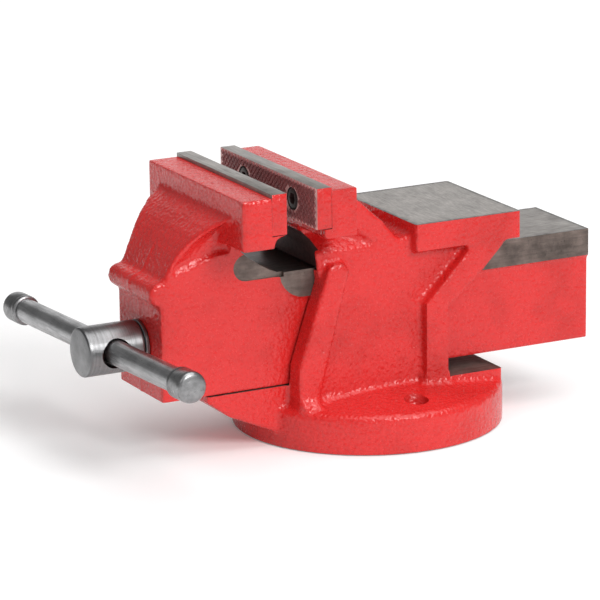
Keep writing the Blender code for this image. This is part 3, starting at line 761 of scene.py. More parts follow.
def body_throat():
    """Tool for the hollow below the fixed jaw's head."""
    bm = bmesh.new()
    throat = [
        (-70, 84.0), (-40.2, 84.0), (-39.6, 88.5), (-40.2, 93.5), (-42.5, 98.5), (-45.4, 101.9),
        (-49.5, 104.3), (-70, 104.3),
    ]
    add_prism(bm, throat, -28.2, 28.2)
    return bm


def body_machining():
    """Tool for the plate's seat, the underside of the base and the milled floor of the rear foot."""
    return box_tool(
        ((-CLEAR, FIXED_SEAT - 12, PLATE_BOTTOM - GAP), (CLEAR, FIXED_SEAT, 140)),
        ((-90, -90, -20), (90, 90, 0)),
        ((-45, 26.4, 24.5), (45, 75, 28.9)),
    )


def body_tunnel():
    """Tool for the square tunnel that the slide runs in."""
    return box_tool(((-TUNNEL_HALF, -120, TONGUE_TOP), (TUNNEL_HALF, 80, SLIDE_TOP + GAP)))


def body_bolt_holes():
    """Tool for the two holes that bolt the base down."""
    bm = bmesh.new()
    radius, countersunk = 5.75, 6.5
    hole = [(0, -5), (radius, -5), (radius, 20.2), (countersunk, 21.4), (countersunk, 40), (0, 40)]
    for x in (49.5, -49.5):
        add_turned(bm, hole, Matrix.Translation((x * MM, 0, 0)))
    return bm


def add_plate_screw_holes(bm, seat, inwards):
    """Screw holes behind one plate; inwards is the way along Y from its seat into the casting."""
    for x in (SCREW_REACH, -SCREW_REACH):
        start = (x, seat - inwards * 6, PLATE_MIDDLE)
        add_rod(bm, PLATE_SCREW_HOLE, start, (x, seat + inwards * 10.5, PLATE_MIDDLE), 24)


def body_holes():
    """Tool for the plate's screw holes and the hole for the nut's bolt."""
    bm = bmesh.new()
    add_plate_screw_holes(bm, FIXED_SEAT, 1)
    add_rod(bm, NUT_BOLT_HOLE, (0, NUT_MIDDLE, 4), (0, NUT_MIDDLE, 35), 32)
    return bm


def neck_scoops(web):
    """Shells that hollow the neck's sides below the head and run out towards the anvil."""
    bm = bmesh.new()
    corners = (
        (web + 3.2, 89.4, 1), (21.5, 100.6, -35), (21.5, 104.2, -37), (45, 104.2, 4), (45, 89.4, 16),
    )
    for sign in (1, -1):
        add_hull(bm, [(sign * x, y, z) for x, z, end in corners for y in (-60, end)])
    return bm


class VISE_OT_cast_body(bpy.types.Operator):
    """Cast and machine the fixed body with its base, anvil and rear jaw"""

    bl_idname = "vise.cast_body"
    bl_label = "Fixed body"

    def execute(self, context):
        sizes = context.scene.vise_casting
        web = FLANK_HALF - sizes.web_depth / MM
        shells, scoops = body_casting(web), neck_scoops(web)
        body = cast_twice("vise_body", shells, scoops, sizes.body_grain, sizes.softness, look("body_red"))
        cuts = (
            (box_tool(((-45, 4, 101.27), (45, 90, 110))), "ground"),
            (body_tunnel(), "milled"),
            # Painted shade: the throat under the head takes the dark bore finish.
            (body_throat(), "bore"),
            (body_machining(), "milled"),
            # Painted shade: the screw holes and the bolt hole take the dark bore finish.
            (body_holes(), "bore"),
            (body_bolt_holes(), "body_red"),
        )
        for tool, finish in cuts:
            cut_away(body, tool, look(finish))
        smooth_shade(body)
        finish_piece(body, "base", "body_enamel", "static_body")
        return {"FINISHED"}


# ---------------------------------------------------------------- moving jaw


NECK = (
    # Height, half width, front and back of the neck's section.
    (84.0, 23.6, -119.6, -62.0),
    (86.0, 23.6, -118.9, -62.0),
    (91.5, 23.9, -116.4, -66.0),
    (95.5, 24.6, -114.4, -71.0),
    (99.6, 25.7, -112.2, -76.0),
    (104.5, 28.1, -108.6, -78.0),
    (109.0, 31.1, -104.4, -78.0),
    (113.5, 35.0, -98.6, -78.0),
    (117.6, 39.2, -91.0, -78.0),
)
BAND_CENTRE = (-46.2, 84.8)


def neck_ring(z, half, front, back):
    corner = 1.2
    corners = [(half, back), (half, front, corner), (-half, front, corner), (-half, back)]
    return [(x, y, z) for x, y in outline_of(corners, 7)]


def band_outline(radius, top):
    """Side view of the milled band: its front end is a quarter circle."""
    middle_y, middle_z = BAND_CENTRE
    band = [(middle_y - radius, top), (middle_y - radius, middle_z)]
    for step in range(1, 11):
        angle = math.radians(90 * step / 10)
        y = middle_y - radius * math.cos(angle)
        band.append((y, middle_z - (radius + 0.4) * math.sin(angle)))
    return band + [(125, band[-1][1]), (125, top)]


def jaw_casting():
    """Shells of the moving jaw: slide, neck, side band, front bead and head."""
    bm = bmesh.new()
    half = 23.6
    slide = [
        (-120.1, 28.7), (110.4, 28.7), (110.4, 83), (-58, 83), (-60.0, 86.4), (-64.5, 89.0),
        (-70.0, 93.0), (-77.0, 98.6), (-81.0, 104.5), (-100, 104.5), (-117.0, 90), (-119.6, 85),
        (-120.2, 78),
    ]
    add_prism(bm, slide, -half, half)
    shell(bm, [neck_ring(*row) for row in NECK])
    add_prism(bm, band_outline(12.9, 86.0), -25.7, 25.7)
    add_rod(bm, 5.6, (-half - 0.1, -119.9, 81.5), (half + 0.1, -119.9, 81.5))
    head = [
        (-90.5, 103.4, 1.0), (MOVING_SEAT + 1.6, 103.4), (MOVING_SEAT + 2.4, 107.0),
        (MOVING_SEAT + 4.6, 108.4), (MOVING_FACE - 0.3, 108.6), (MOVING_FACE - 0.3, 111.5),
        (MOVING_SEAT + 1.4, 111.5), (MOVING_SEAT + 1.4, 127.45), (-90.5, 127.45),
    ]
    add_prism(bm, head, -JAW_HALF - 0.1, JAW_HALF + 0.1)
    return bm


def jaw_hollows():
    """Shells that hollow the neck's sides between its front edge, the head and the slide."""
    front = (
        (26.0, -110.9, 99.6), (28.4, -107.3, 104.5), (31.4, -103.1, 109.0), (35.3, -97.3, 113.5),
        (38.5, -90.9, 117.0), (22.1, -113.2, 92.6), (22.1, -102.2, 96.6), (22.1, -90.9, 99.2),
        (25.8, -90.9, 110.0), (23.9, -116.6, 88.4), (23.9, -112.5, 90.8), (23.9, -102.2, 94.6),
        (23.9, -90.9, 97.3),
    )
    under = (
        (23.9, -92.0, 97.3), (23.9, -84.5, 97.2), (22.1, -92.0, 99.2), (22.1, -85.5, 99.2),
        (24.0, -92.0, 103.3), (24.0, -85.5, 103.3),
    )
    bm = bmesh.new()
    for corners in (front, under):
        for sign in (1, -1):
            add_hull(bm, [(sign * a, y, z) for x, y, z in corners for a in (x, CLEAR)])
    return bm


def jaw_top_machining():
    """One tool shell that mills the slide's top band and the ramp behind the neck."""
    bm = bmesh.new()
    ramp = [
        (125, SLIDE_TOP), (-59.6, SLIDE_TOP), (-63.5, 86.2), (-68.5, 89.2), (-74.0, 93.0),
        (-78.8, 96.9), (-82.0, 100.6), (-83.6, 103.2), (-40, 103.2), (-40, 95), (125, 95),
    ]
    add_prism(bm, ramp, -CLEAR, CLEAR)
    return bm


def both_sides(outline, low, high):
    """A tool that cuts the same outline into both sides, from low to high away from the middle."""
    bm = bmesh.new()
    add_prism(bm, outline, low, high)
    add_prism(bm, outline, -high, -low)
    return bm


def jaw_pockets():
    pocket = [(-82.6, 82.5, 6.6), (-82.6, 95.9, 6.6), (-57, 95.9), (-57, 82.5)]
    return both_sides(pocket, 22.9, 35)


def jaw_seat():
    """Tool for the plate's seat and the underside of the slide."""
    return box_tool(
        ((-CLEAR, MOVING_SEAT, PLATE_BOTTOM - GAP), (CLEAR, MOVING_SEAT + 14, 140)),
        ((-CLEAR, -150, 10), (CLEAR, 150, SLIDE_BOTTOM)),
    )


def jaw_holes():
    """Tool for the spindle's hole and the plate's screw holes."""
    bm = bmesh.new()
    add_rod(bm, SPINDLE_BORE, (0, -130, SPINDLE_Z), (0, -100, SPINDLE_Z), 48)
    add_plate_screw_holes(bm, MOVING_SEAT, -1)
    return bm


def paint_slide_top(obj, material):
    """Gives the flat top of the slide its own lighter finish: partly ground iron, partly painted highlight
    for the light its upward face catches.
    """
    obj.data.materials.append(material)
    index = len(obj.data.materials) - 1
    for polygon in obj.data.polygons:
        if polygon.normal.z > 0.99 and abs(polygon.center.z / MM - SLIDE_TOP) < 0.02:
            polygon.material_index = index


def raise_seam(obj, height):
    """Lifts the mould's parting line down the middle of the jaw's front."""
    bm = bmesh.new()
    bm.from_mesh(obj.data)
    bm.normal_update()
    half_width, front_end, top, spindle_seat = 0.75, -88, 100, 14.8324
    for vert in bm.verts:
        x, y, z = vert.co / MM
        if y > front_end or abs(x) > 4 * half_width or vert.normal.y > -0.2:
            continue
        if z > top or math.hypot(x, z - SPINDLE_Z) < spindle_seat:
            continue
        vert.co += vert.normal * height * math.exp(-(x / half_width) ** 2)
    bm.to_mesh(obj.data)
    bm.free()


class VISE_OT_cast_moving_jaw(bpy.types.Operator):
    """Cast and machine the moving jaw with its slide"""

    bl_idname = "vise.cast_moving_jaw"
    bl_label = "Moving jaw"

    def execute(self, context):
        sizes = context.scene.vise_casting
        shells, hollows = jaw_casting(), jaw_hollows()
        jaw = cast_twice("vise_moving_jaw", shells, hollows, sizes.jaw_grain, sizes.softness, look("jaw_red"))
        raise_seam(jaw, sizes.seam_height)
        cuts = (
            (jaw_top_machining(), "milled"),
            (both_sides(band_outline(14.2, 90.0), 24.87, 40), "milled"),
            (jaw_pockets(), "milled"),
            (jaw_seat(), "milled"),
            (box_tool(((-CLEAR, SLIDE_REAR, 5), (CLEAR, 130, 120))), "jaw_red"),
            (box_tool(((-17.5, -106, 15), (17.5, 125, 76.6))), "jaw_red"),
            # Painted shade: the spindle's hole and the screw holes take the dark bore finish.
            (jaw_holes(), "bore"),
        )
        for tool, finish in cuts:
            cut_away(jaw, tool, look(finish))
        # Painted highlight: the upward faces of the slide take the lighter finish.
        paint_slide_top(jaw, look("slide_top"))
        smooth_shade(jaw)
        finish_piece(jaw, "moving_jaw", "jaw_enamel", "movable_jaw")
        return {"FINISHED"}


# ---------------------------------------------------------------- jaw plates


def tooth_tree():
    """Geometry nodes: staggered four-sided teeth over one gripping face, clear of the screw sinks."""
    tree, sockets = start_tree("grip_teeth", (
        ("Length", 0.098), ("Height", 0.0195), ("Pitch", 0.00325), ("Tooth", 0.0006), ("Sink", 0.0056),
    ))
    nodes, links = tree.nodes, tree.links
    sizes = nodes.new("NodeGroupInput").outputs
    pitch = sizes["Pitch"]

    def calc(kind, first, second=None):
        return math_node(tree, kind, first, second)

    counts = [calc("ROUND", calc("DIVIDE", sizes[side], pitch)) for side in ("Length", "Height")]
    both = nodes.new("GeometryNodeJoinGeometry")
    for fewer in (0, 1):
        grid = nodes.new("GeometryNodeMeshGrid")
        for count, axis in zip(counts, "XY"):
            reach = calc("SUBTRACT", calc("MULTIPLY", count, pitch), calc("MULTIPLY", pitch, 1.0 + fewer))
            links.new(reach, grid.inputs["Size " + axis])
            links.new(calc("SUBTRACT", count, fewer), grid.inputs["Vertices " + axis])
        links.new(grid.outputs["Mesh"], both.inputs[0])
    split = nodes.new("ShaderNodeSeparateXYZ")
    links.new(nodes.new("GeometryNodeInputPosition").outputs[0], split.inputs[0])
    x, y = split.outputs[0], split.outputs[1]
    offset = calc("SUBTRACT", calc("ABSOLUTE", x), SCREW_REACH * MM)
    distance = calc("SQRT", calc("ADD", calc("MULTIPLY", offset, offset), calc("MULTIPLY", y, y)))
    drop = nodes.new("GeometryNodeDeleteGeometry")
    drop.domain = "POINT"
    links.new(both.outputs[0], drop.inputs["Geometry"])
    near_sink = calc("LESS_THAN", distance, calc("ADD", sizes["Sink"], 0.0009))
    links.new(near_sink, drop.inputs["Selection"])
    tooth = nodes.new("GeometryNodeMeshCone")
    tooth.fill_type = "NGON"
    tooth.inputs["Vertices"].default_value = 4
    links.new(calc("MULTIPLY", pitch, 0.34), tooth.inputs["Radius Top"])
    links.new(calc("MULTIPLY", pitch, 0.49), tooth.inputs["Radius Bottom"])
    links.new(sizes["Tooth"], tooth.inputs["Depth"])
    place = nodes.new("GeometryNodeInstanceOnPoints")
    links.new(drop.outputs[0], place.inputs["Points"])
    links.new(tooth.outputs["Mesh"], place.inputs["Instance"])
    end_tree(tree, place.outputs[0], "grip")
    return tree, sockets


PLATE_FINISHES = ("plate", "plate_red", "groove_sheen", "grip")


def plate_blank(name, face, facing):
    """Plate with sinks and holes; ends take the enamel, top and bottom the ground finish."""
    bm = bmesh.new()
    tooth_root, thickness = 0.55, 8.18
    low, high = sorted((face - facing * tooth_root, face - facing * thickness))
    add_box(bm, (-JAW_HALF, low, PLATE_BOTTOM), (JAW_HALF, high, PLATE_TOP))
    bmesh.ops.bevel(bm, geom=bm.edges[:], offset=0.2 * MM, segments=2, profile=0.5, affect="EDGES")
    plate = object_from(name, bm, [look(finish) for finish in PLATE_FINISHES])
    for polygon in plate.data.polygons:
        if abs(polygon.normal.x) > 0.5:
            polygon.material_index = PLATE_FINISHES.index("plate_red")
        # Painted highlight: the gripping face between the teeth takes the pale groove finish.
        elif polygon.normal.y * facing > 0.7:
            polygon.material_index = PLATE_FINISHES.index("groove_sheen")
    tool = bmesh.new()
    mouth, sink, hole = 5.9, 5.3, PLATE_SCREW_HOLE
    profile = [
        (0, 3), (mouth, 3), (mouth, -0.2), (sink, -0.8), (sink, -5.4), (hole, -5.4),
        (hole, -12), (0, -12),
    ]
    for x in (-SCREW_REACH, SCREW_REACH):
        add_turned(tool, profile, facing_along_y(x, face, PLATE_MIDDLE, facing))
    # Painted shade: the sink walls take the dark screw finish.
    cut_away(plate, tool, look("screw_steel"))
    return plate


def add_teeth(plate, tree, settings, place):
    """Runs the tooth tree, moves the teeth to their place and joins them to the plate."""
    seed = object_from(plate.name + "_teeth", bmesh.new())
    teeth = seed.modifiers.new("Teeth", "NODES")
    teeth.node_group = tree
    for socket, value in settings.items():
        teeth[socket] = value
    bake(seed)
    seed.data.transform(place)
    bm = bmesh.new()
    bm.from_mesh(plate.data)
    bm.from_mesh(seed.data)
    for face in bm.faces[len(plate.data.polygons):]:
        face.material_index = PLATE_FINISHES.index("grip")
    bm.to_mesh(plate.data)
    bm.free()
    bpy.data.objects.remove(seed, do_unlink=True)


class VISE_OT_fit_jaw_plates(bpy.types.Operator):
    """Make the two jaw plates with their diamond-cut gripping faces"""

    bl_idname = "vise.fit_jaw_plates"
    bl_label = "Jaw plates"

    def execute(self, context):
        sizes = context.scene.vise_fitting
        tree, sockets = tooth_tree()
        settings = {sockets["Pitch"]: sizes.tooth_pitch, sockets["Tooth"]: sizes.tooth_height}
        rows = (
            ("vise_fixed_plate", FIXED_FACE, -1, "base", "rear_jaw_plate"),
            ("vise_moving_plate", MOVING_FACE, 1, "moving_jaw", "front_jaw_plate"),
        )
        for name, face, facing, body, node in rows:
            plate = plate_blank(name, face, facing)
            root = face - facing * 0.56
            add_teeth(plate, tree, settings, facing_along_y(0, root, PLATE_MIDDLE, facing))
            smooth_shade(plate, 25.0)
            finish_piece(plate, body, "plate_steel", node)
        return {"FINISHED"}


class VISE_OT_fit_plate_screws(bpy.types.Operator):
    """Turn the four socket-head screws that hold the jaw plates"""

    bl_idname = "vise.fit_plate_screws"
    bl_label = "Plate screws"

    def execute(self, context):
        profile = [
            (0, -0.5), (4.2, -0.5), (4.6, -0.6), (4.88, -0.85), (5.0, -1.2), (5.0, -5.1),
            (3.35, -5.1), (3.0, -5.4), (3.0, -17.2), (2.3, -18.1), (0, -18.1),
        ]
        socket = [(0, 2), (2.9, 2), (2.9, -3.0), (0, -4.2)]
        for end, face, facing, body in (
            ("rear", FIXED_FACE, -1, "base"), ("front", MOVING_FACE, 1, "moving_jaw"),
        ):
            for side, x in (("near", SCREW_REACH), ("far", -SCREW_REACH)):
                place = facing_along_y(x, face, PLATE_MIDDLE, facing)
                screw = turned_piece(f"vise_{end}_plate_screw_{side}", profile, place, "screw_steel", 40)
                tool = bmesh.new()
                add_turned(tool, socket, place, 6)
                # Painted shade: the hexagon socket takes the dark bore finish.
                cut_away(screw, tool, look("bore"))
                smooth_shade(screw)
                finish_piece(screw, body, "screw_steel", f"{end}_plate_screw_{side}")
        return {"FINISHED"}


# ---------------------------------------------------------------- spindle and handle


def thread_rings(lead, depth, steps):
    """Rings of (radius, y) for a one-start trapezoidal thread that runs out at both ends."""
    start, end, ring_spacing = -66.0, 93.5, 0.4
    count = int((end - start) / ring_spacing)
    rings = []
    for i in range(count + 1):
        y = start + (end - start) * i / count
        ease = min(1.0, (y - start) / 4.0, (end - y) / 2.0 + 0.15)
        ring = []
        for k in range(steps):
            phase = (y / lead + k / steps) % 1.0
            wave = min(1.0, max(0.0, (abs(phase - 0.5) - 0.14) / 0.12))
            ring.append((SHANK_RADIUS - depth * ease * (1.0 - wave), y))
        rings.append(ring)
    return rings


def threaded_spindle(lead, depth):
    """Head, shank and thread as one skin of rings along Y."""
    steps = 48
    core = SHANK_RADIUS - depth
    head = [
        (0.0, -151.3), (7.0, -151.3), (10.5, -151.25), (11.2, -151.05), (11.7, -150.6),
        (11.9, -149.9), (11.9, -149.0), (11.9, -124.0), (11.9, -123.4), (11.6, -122.85),
        (11.2, -122.6), (SHANK_RADIUS, -122.6), (SHANK_RADIUS, -110.0), (SHANK_RADIUS, -84.0),
        (SHANK_RADIUS, -67.5),
    ]
    tip = [(core, 94.0), (core, 95.2), (core - 0.9, 96.0), (0.0, 96.0)]
    rings = [[point] * steps for point in head]
    rings += thread_rings(lead, depth, steps)
    rings += [[point] * steps for point in tip]
    bm = bmesh.new()
    rows = []
    for ring in rings:
        on_axis = ring[0][0] == 0.0
        row = []
        for k, (radius, y) in enumerate(ring[:1] if on_axis else ring):
            angle = math.tau * k / steps
            point = Vector((radius * math.cos(angle), y, SPINDLE_Z + radius * math.sin(angle)))
            row.append(bm.verts.new(point * MM))
        rows.append(row)
    add_skin(bm, rows)
    return bm


class VISE_OT_turn_spindle(bpy.types.Operator):
    """Turn the spindle with its head, cross hole and thread"""

    bl_idname = "vise.turn_spindle"
    bl_label = "Spindle"

    def execute(self, context):
        sizes = context.scene.vise_fitting
        bm = threaded_spindle(sizes.thread_lead / MM, sizes.thread_depth / MM)
        spindle = object_from("vise_spindle", bm, [look("spindle_steel")])
        tool = bmesh.new()
        flared, bore = 8.4, 7.25
        cross_hole = [
            (0, -16), (flared, -16), (flared, -12.2), (bore, -10.9), (bore, 10.9), (flared, 12.2),
            (flared, 16), (0, 16),
        ]
        add_turned(tool, cross_hole, handle_place(math.radians(90)), 64)
        pin_y = sum(span("split_pin", "y")) / 2
        add_rod(tool, 1.8, (-20, pin_y, SPINDLE_Z), (20, pin_y, SPINDLE_Z), 24)
        # Painted shade: the cross hole and the pin hole take the dark bore finish.
        cut_away(spindle, tool, look("bore"))
        smooth_shade(spindle, 30.0)
        finish_piece(spindle, "spindle", "spindle_steel", "spindle")
        return {"FINISHED"}


class VISE_OT_make_handle(bpy.types.Operator):
    """Turn the sliding handle bar and its two end caps"""

    bl_idname = "vise.make_handle"
    bl_label = "Handle"

    def execute(self, context):
        place = handle_place()
        low, high = -93.2, 76.7
        stub, bar = 4, 5.9
        profile = [
            (0, high + 9), (stub - 0.4, high + 9), (stub, high + 8.6), (stub, high), (bar - 0.3, high),
            (bar, high - 0.4), (bar, low + 0.4), (bar - 0.3, low), (stub, low), (stub, low - 8.6),
            (stub - 0.4, low - 9), (0, low - 9),
        ]
        rod = turned_piece("vise_handle_bar", profile, place, "handle_steel", 56)
        finish_piece(rod, "handle", "handle_steel", "handle_bar")
        cap_profile = [
            (0, 14.0), (3.5, 13.95), (5.6, 13.75), (6.5, 13.35), (7.1, 12.7), (7.35, 11.9), (7.4, 11.0),
            (7.4, 3.4), (7.28, 3.1), (7.28, 2.8), (7.4, 2.5), (7.4, 1.2), (7.15, 0.5), (6.6, 0.1),
            (6.2, 0), (4.3, 0), (4.3, 9.3), (0, 9.3),
        ]
        for side, inner, sign in (("near", high + GAP, 1), ("far", low - GAP, -1)):
            profile = [(radius, inner + sign * height) for radius, height in cap_profile]
            cap = turned_piece("vise_handle_cap_" + side, profile, place, "cap_steel", 56)
            finish_piece(cap, "handle", "handle_steel", "handle_cap_" + side)
        return {"FINISHED"}


# ---------------------------------------------------------------- inner fittings


def tapped_nut():
    """The nut block with its bore along the spindle and its bolt hole from below."""
    low, high = (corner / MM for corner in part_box("spindle_nut"))
    bm = bmesh.new()
    outline = [(low.y, low.z), (low.y, high.z, 5), (high.y, high.z, 5), (high.y, low.z)]
    add_prism(bm, outline, low.x, high.x)
    bmesh.ops.bevel(bm, geom=bm.edges[:], offset=0.9 * MM, segments=2, profile=0.5, affect="EDGES")
    nut = object_from("vise_spindle_nut", bm, [look("nut_iron")])
    mouth = 10.6
    bore = [
        (0, low.y - 5), (mouth, low.y - 5), (mouth, low.y), (SPINDLE_BORE, low.y + 1.5),
        (SPINDLE_BORE, high.y - 1.5), (mouth, high.y), (mouth, high.y + 5), (0, high.y + 5),
    ]
    tool = bmesh.new()
    add_turned(tool, bore, facing_along_y(0, 0, SPINDLE_Z))
    add_rod(tool, NUT_BOLT_HOLE, (0, NUT_MIDDLE, low.z - 5), (0, NUT_MIDDLE, low.z + 12), 32)
    # Painted shade: the nut's bore and bolt hole take the dark bore finish.
    cut_away(nut, tool, look("bore"))
    smooth_shade(nut)
    return nut


def hexagon_bolt(top):
    """An upright bolt with a chamfered hexagon head below; top is where the head meets its washer."""
    bottom, tip = span("nut_bolt", "z")
    across_flats, radius = 13.0, 4.0
    rings = []
    for height, factor in ((bottom, 0.86), (bottom + 0.7, 1.0), (top, 1.0)):
        reach = across_flats / 2 / math.cos(math.radians(30)) * factor
        ring = []
        for k in range(6):
            angle = math.radians(60 * k)
            ring.append((reach * math.cos(angle), NUT_MIDDLE + reach * math.sin(angle), height))
        rings.append(ring)
    bm = bmesh.new()
    shell(bm, rings)
    shank = [(0, tip), (radius - 0.8, tip), (radius, tip - 0.9), (radius, top - 1.0), (0, top - 1.0)]
    add_turned(bm, shank, Matrix.Translation((0, NUT_MIDDLE * MM, 0)), 32)
    bolt = object_from("vise_nut_bolt", bm, [look("zinc")])
    smooth_shade(bolt)
    return bolt


class VISE_OT_fit_nut(bpy.types.Operator):
    """Fit the spindle nut with its bolt and washer under the base"""

    bl_idname = "vise.fit_nut"
    bl_label = "Spindle nut"

    def execute(self, context):
        finish_piece(tapped_nut(), "base", "nut_iron", "spindle_nut")
        bottom, top = span("nut_bolt_washer", "z")
        finish_piece(hexagon_bolt(bottom - GAP), "base", "zinc_steel", "nut_bolt")
        edge = 8.0
        ring = [
            (NUT_BOLT_HOLE, top), (edge - 0.3, top), (edge, top - 0.3), (edge, bottom + 0.3),
            (edge - 0.3, bottom), (NUT_BOLT_HOLE, bottom),
        ]
        place = Matrix.Translation((0, NUT_MIDDLE * MM, 0))
        washer = turned_piece("vise_nut_bolt_washer", ring, place, "zinc")
        finish_piece(washer, "base", "zinc_steel", "nut_bolt_washer")
        return {"FINISHED"}


def spring_tree():
    """Geometry nodes: a closed wire coil along Z."""
    tree, sockets = start_tree("coil_spring", (
        ("Turns", 3.5), ("Radius", 0.0108), ("Length", 0.0115), ("Wire", 0.00098),
    ))
    nodes, links = tree.nodes, tree.links
    sizes = nodes.new("NodeGroupInput").outputs
    coil = nodes.new("GeometryNodeCurveSpiral")
    coil.inputs["Resolution"].default_value = 40
    for size, entry in (
        ("Turns", "Rotations"), ("Radius", "Start Radius"), ("Radius", "End Radius"), ("Length", "Height"),
    ):
        links.new(sizes[size], coil.inputs[entry])
    wire = nodes.new("GeometryNodeCurvePrimitiveCircle")
    wire.inputs["Resolution"].default_value = 12
    links.new(sizes["Wire"], wire.inputs["Radius"])
    body = nodes.new("GeometryNodeCurveToMesh")
    body.inputs["Fill Caps"].default_value = True
    links.new(coil.outputs[0], body.inputs["Curve"])
    links.new(wire.outputs[0], body.inputs["Profile Curve"])
    end_tree(tree, body.outputs[0], "spring_steel")
    return tree, sockets


def wind_spring(turns):
    """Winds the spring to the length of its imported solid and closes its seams."""
    low, high = (corner.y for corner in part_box("take_up_spring"))
    spring = object_from("vise_take_up_spring", bmesh.new())
    tree, sockets = spring_tree()
    coil = spring.modifiers.new("Coil", "NODES")
    coil.node_group = tree
    coil[sockets["Turns"]] = turns
    coil[sockets["Length"]] = high - low - 0.0022
    bake(spring)
    bm = bmesh.new()
    bm.from_mesh(spring.data)
    bmesh.ops.remove_doubles(bm, verts=bm.verts[:], dist=0.000001)
    bmesh.ops.recalc_face_normals(bm, faces=bm.faces[:])
    bm.to_mesh(spring.data)
    bm.free()
    heights = [vert.co.z for vert in spring.data.vertices]
    centre = Matrix.Translation((0, 0, -(min(heights) + max(heights)) / 2))
    spring.data.transform(facing_along_y(0, (low + high) / 2 / MM, SPINDLE_Z) @ centre)
    smooth_shade(spring)
    return spring


def turned_washer(node, finish):
    """A flat washer on the spindle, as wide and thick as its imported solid."""
    low, high = span(node, "y")
    left, right = span(node, "x")
    outer = (right - left) / 2
    ring = [
        (SPINDLE_BORE, high), (outer - 0.4, high), (outer, high - 0.4), (outer, low + 0.4),
        (outer - 0.4, low), (SPINDLE_BORE, low),
    ]
    return turned_piece("vise_" + node, ring, facing_along_y(0, 0, SPINDLE_Z), finish, 64)


def bent_pin():
    """The split pin: an eye at one end, the two legs as one wire and their bent tip."""
    y = sum(span("split_pin", "y")) / 2
    centre_x, radius, steps = -12.9, 1.75, 16
    eye = []
    for i in range(steps + 1):
        angle = math.radians(-150 + 300 * i / steps)
        eye.append(Vector((centre_x - radius * math.cos(angle), y, SPINDLE_Z + radius * math.sin(angle))))
    places = ((-11.0, 0), (-8.5, 0), (0.0, 0), (8.8, 0), (10.4, 0), (11.5, -0.6), (12.0, -3.0))
    legs = [Vector((x, y, SPINDLE_Z + drop)) for x, drop in places]
    bm = bmesh.new()
    add_wire(bm, eye, 0.62, 10)
    add_wire(bm, legs, 1.25, 12)
    pin = object_from("vise_split_pin", bm, [look("zinc")])
    smooth_shade(pin)
    return pin


class VISE_OT_fit_retainers(bpy.types.Operator):
    """Fit the washers, take-up spring and split pin on the spindle"""

    bl_idname = "vise.fit_retainers"
    bl_label = "Spindle fittings"

    def execute(self, context):
        for node, body, finish in (
            ("thrust_washer", "moving_jaw", "spindle_steel"),
            ("inner_washer", "moving_jaw", "zinc"),
            ("keeper_washer", "spindle", "zinc"),
        ):
            finish_piece(turned_washer(node, finish), body, "zinc_steel", node)
        spring = wind_spring(context.scene.vise_fitting.spring_turns)
        finish_piece(spring, "moving_jaw", "zinc_steel", "take_up_spring")
        finish_piece(bent_pin(), "spindle", "zinc_steel", "split_pin")
        return {"FINISHED"}


# ---------------------------------------------------------------- stage


def hang(name, light, place):
    """Puts a light into the scene, out of the camera's sight."""
    lamp = bpy.data.objects.new(name, light)
    bpy.context.scene.collection.objects.link(lamp)
    lamp.matrix_world = place
    lamp.visible_camera = False


def add_lamp(name, where, target, size, power):
    light = bpy.data.lights.new(name, "AREA")
    light.shape = "RECTANGLE"
    light.size, light.size_y = size
    light.energy = power
    aim = (Vector(target) - Vector(where)).to_track_quat("-Z", "Y")
    hang(name, light, Matrix.Translation(where) @ aim.to_matrix().to_4x4())


def add_sun(name, azimuth, height, strength, spread):
    """A soft sun; azimuth turns from +X towards +Y, height is above the floor, all in degrees."""
    light = bpy.data.lights.new(name, "SUN")
    light.energy = strength
    light.angle = math.radians(spread)
    turn, lift = math.radians(azimuth), math.radians(height)
    back = Vector((math.cos(turn) * math.cos(lift), math.sin(turn) * math.cos(lift), math.sin(lift)))
    hang(name, light, back.to_track_quat("Z", "Y").to_matrix().to_4x4())


def lay_floor():
    bm = bmesh.new()
    reach = 6.0
    plan = ((-reach, -reach), (reach, -reach), (reach, reach), (-reach, reach))
    bm.faces.new([bm.verts.new((x, y, -0.0005)) for x, y in plan])
    floor = object_from("studio_floor", bm)
    pale = Surface("studio_pale", (0.93, 0.93, 0.93), 0.75, 0.0)
    pale.set(pale.shader, "Emission Color", (1.0, 1.0, 1.0, 1.0))
    pale.set(pale.shader, "Emission Strength", 0.12)
    floor.data.materials.append(pale.material)


def light_world(scene):
    """A white surround that the camera sees at full strength and the vise is lit by faintly."""
    world = bpy.data.worlds.new("studio_world")
    world.use_nodes = True
    nodes, links = world.node_tree.nodes, world.node_tree.links
    sky = nodes["Background"]
    sky.inputs["Color"].default_value = (1.0, 1.0, 1.0, 1.0)
    level = nodes.new("ShaderNodeMapRange")
    level.inputs["To Min"].default_value = 0.22
    level.inputs["To Max"].default_value = 1.0
    links.new(nodes.new("ShaderNodeLightPath").outputs["Is Camera Ray"], level.inputs["Value"])
    links.new(level.outputs["Result"], sky.inputs["Strength"])
    scene.world = world


def place_camera(scene, stage, target):
    az, el, roll = stage.azimuth, stage.elevation, stage.roll
    back = Vector((math.sin(az) * math.cos(el), -math.cos(az) * math.cos(el), math.sin(el)))
    right = Vector((math.cos(az), math.sin(az), 0.0))
    up = back.cross(right)
    lean_right = right * math.cos(roll) + up * math.sin(roll)
    lean_up = up * math.cos(roll) - right * math.sin(roll)
    turn = Matrix((lean_right, lean_up, back)).transposed().to_4x4()
    lens = bpy.data.cameras.new("studio_camera")
    lens.lens = stage.lens
    lens.sensor_width = 36.0
    lens.sensor_fit = "HORIZONTAL"
    lens.clip_end = 50.0
    camera = bpy.data.objects.new("studio_camera", lens)
    scene.collection.objects.link(camera)
    camera.matrix_world = Matrix.Translation(target + back * stage.distance) @ turn
    scene.camera = camera


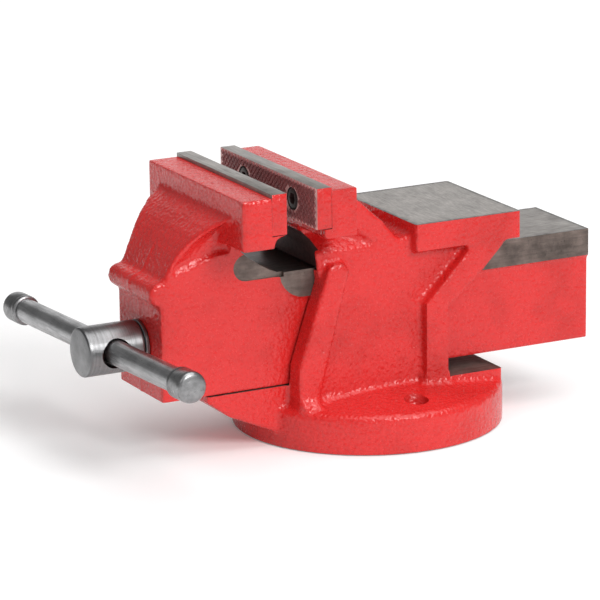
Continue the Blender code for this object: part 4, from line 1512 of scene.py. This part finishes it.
class VISE_OT_set_stage(bpy.types.Operator):
    """Lay the pale floor, hang the lamps and place the camera"""

    bl_idname = "vise.set_stage"
    bl_label = "Studio"

    def execute(self, context):
        scene = context.scene
        stage = scene.vise_stage
        target = Vector((0.0, -0.03575, 0.06246))
        lay_floor()
        light_world(scene)
        place_camera(scene, stage, target)
        power = stage.light
        add_sun("side_sun", 12.0, 32.0, 1.6 * power, 22.0)
        add_sun("top_sun", 40.0, 74.0, 1.8 * power, 55.0)
        add_lamp("key_lamp", (1.25, 0.1, 0.85), target, (0.25, 0.5), 3.0 * power)
        add_lamp("edge_lamp", (0.7, -1.0, 0.9), target, (0.12, 0.4), 1.2 * power)
        add_lamp("back_panel", (-2.3, 1.2, 0.75), target, (2.6, 1.3), 9.0 * power)
        scene.view_settings.view_transform = "Standard"
        return {"FINISHED"}


# ---------------------------------------------------------------- panel


class VISE_PT_sidebar(bpy.types.Panel):
    """Sizes, finishes and build buttons for the vise"""

    bl_label = "Bench Vise"
    bl_idname = "VISE_PT_sidebar"
    bl_space_type = "VIEW_3D"
    bl_region_type = "UI"
    bl_category = "Vise"

    def draw(self, context):
        layout = self.layout
        for name, group in SETTINGS.items():
            box = layout.box()
            owner = getattr(context.scene, name)
            for key in group.__annotations__:
                box.prop(owner, key)
        column = layout.column(align=True)
        for operator in OPERATORS:
            column.operator(operator.bl_idname)


OPERATORS = (
    VISE_OT_cast_body,
    VISE_OT_cast_moving_jaw,
    VISE_OT_fit_jaw_plates,
    VISE_OT_fit_plate_screws,
    VISE_OT_turn_spindle,
    VISE_OT_make_handle,
    VISE_OT_fit_nut,
    VISE_OT_fit_retainers,
    VISE_OT_set_stage,
)


def register():
    for group in SETTINGS.values():
        bpy.utils.register_class(group)
    for name, group in SETTINGS.items():
        setattr(bpy.types.Scene, name, PointerProperty(type=group))
    for operator in OPERATORS:
        bpy.utils.register_class(operator)
    bpy.utils.register_class(VISE_PT_sidebar)


def unregister():
    bpy.utils.unregister_class(VISE_PT_sidebar)
    for operator in reversed(OPERATORS):
        bpy.utils.unregister_class(operator)
    for name in SETTINGS:
        delattr(bpy.types.Scene, name)
    for group in SETTINGS.values():
        bpy.utils.unregister_class(group)


def main():
    register()
    bpy.ops.vise.cast_body()
    bpy.ops.vise.cast_moving_jaw()
    bpy.ops.vise.fit_jaw_plates()
    bpy.ops.vise.fit_plate_screws()
    bpy.ops.vise.turn_spindle()
    bpy.ops.vise.make_handle()
    bpy.ops.vise.fit_nut()
    bpy.ops.vise.fit_retainers()
    bpy.ops.vise.set_stage()


if __name__ == "__main__":
    main()
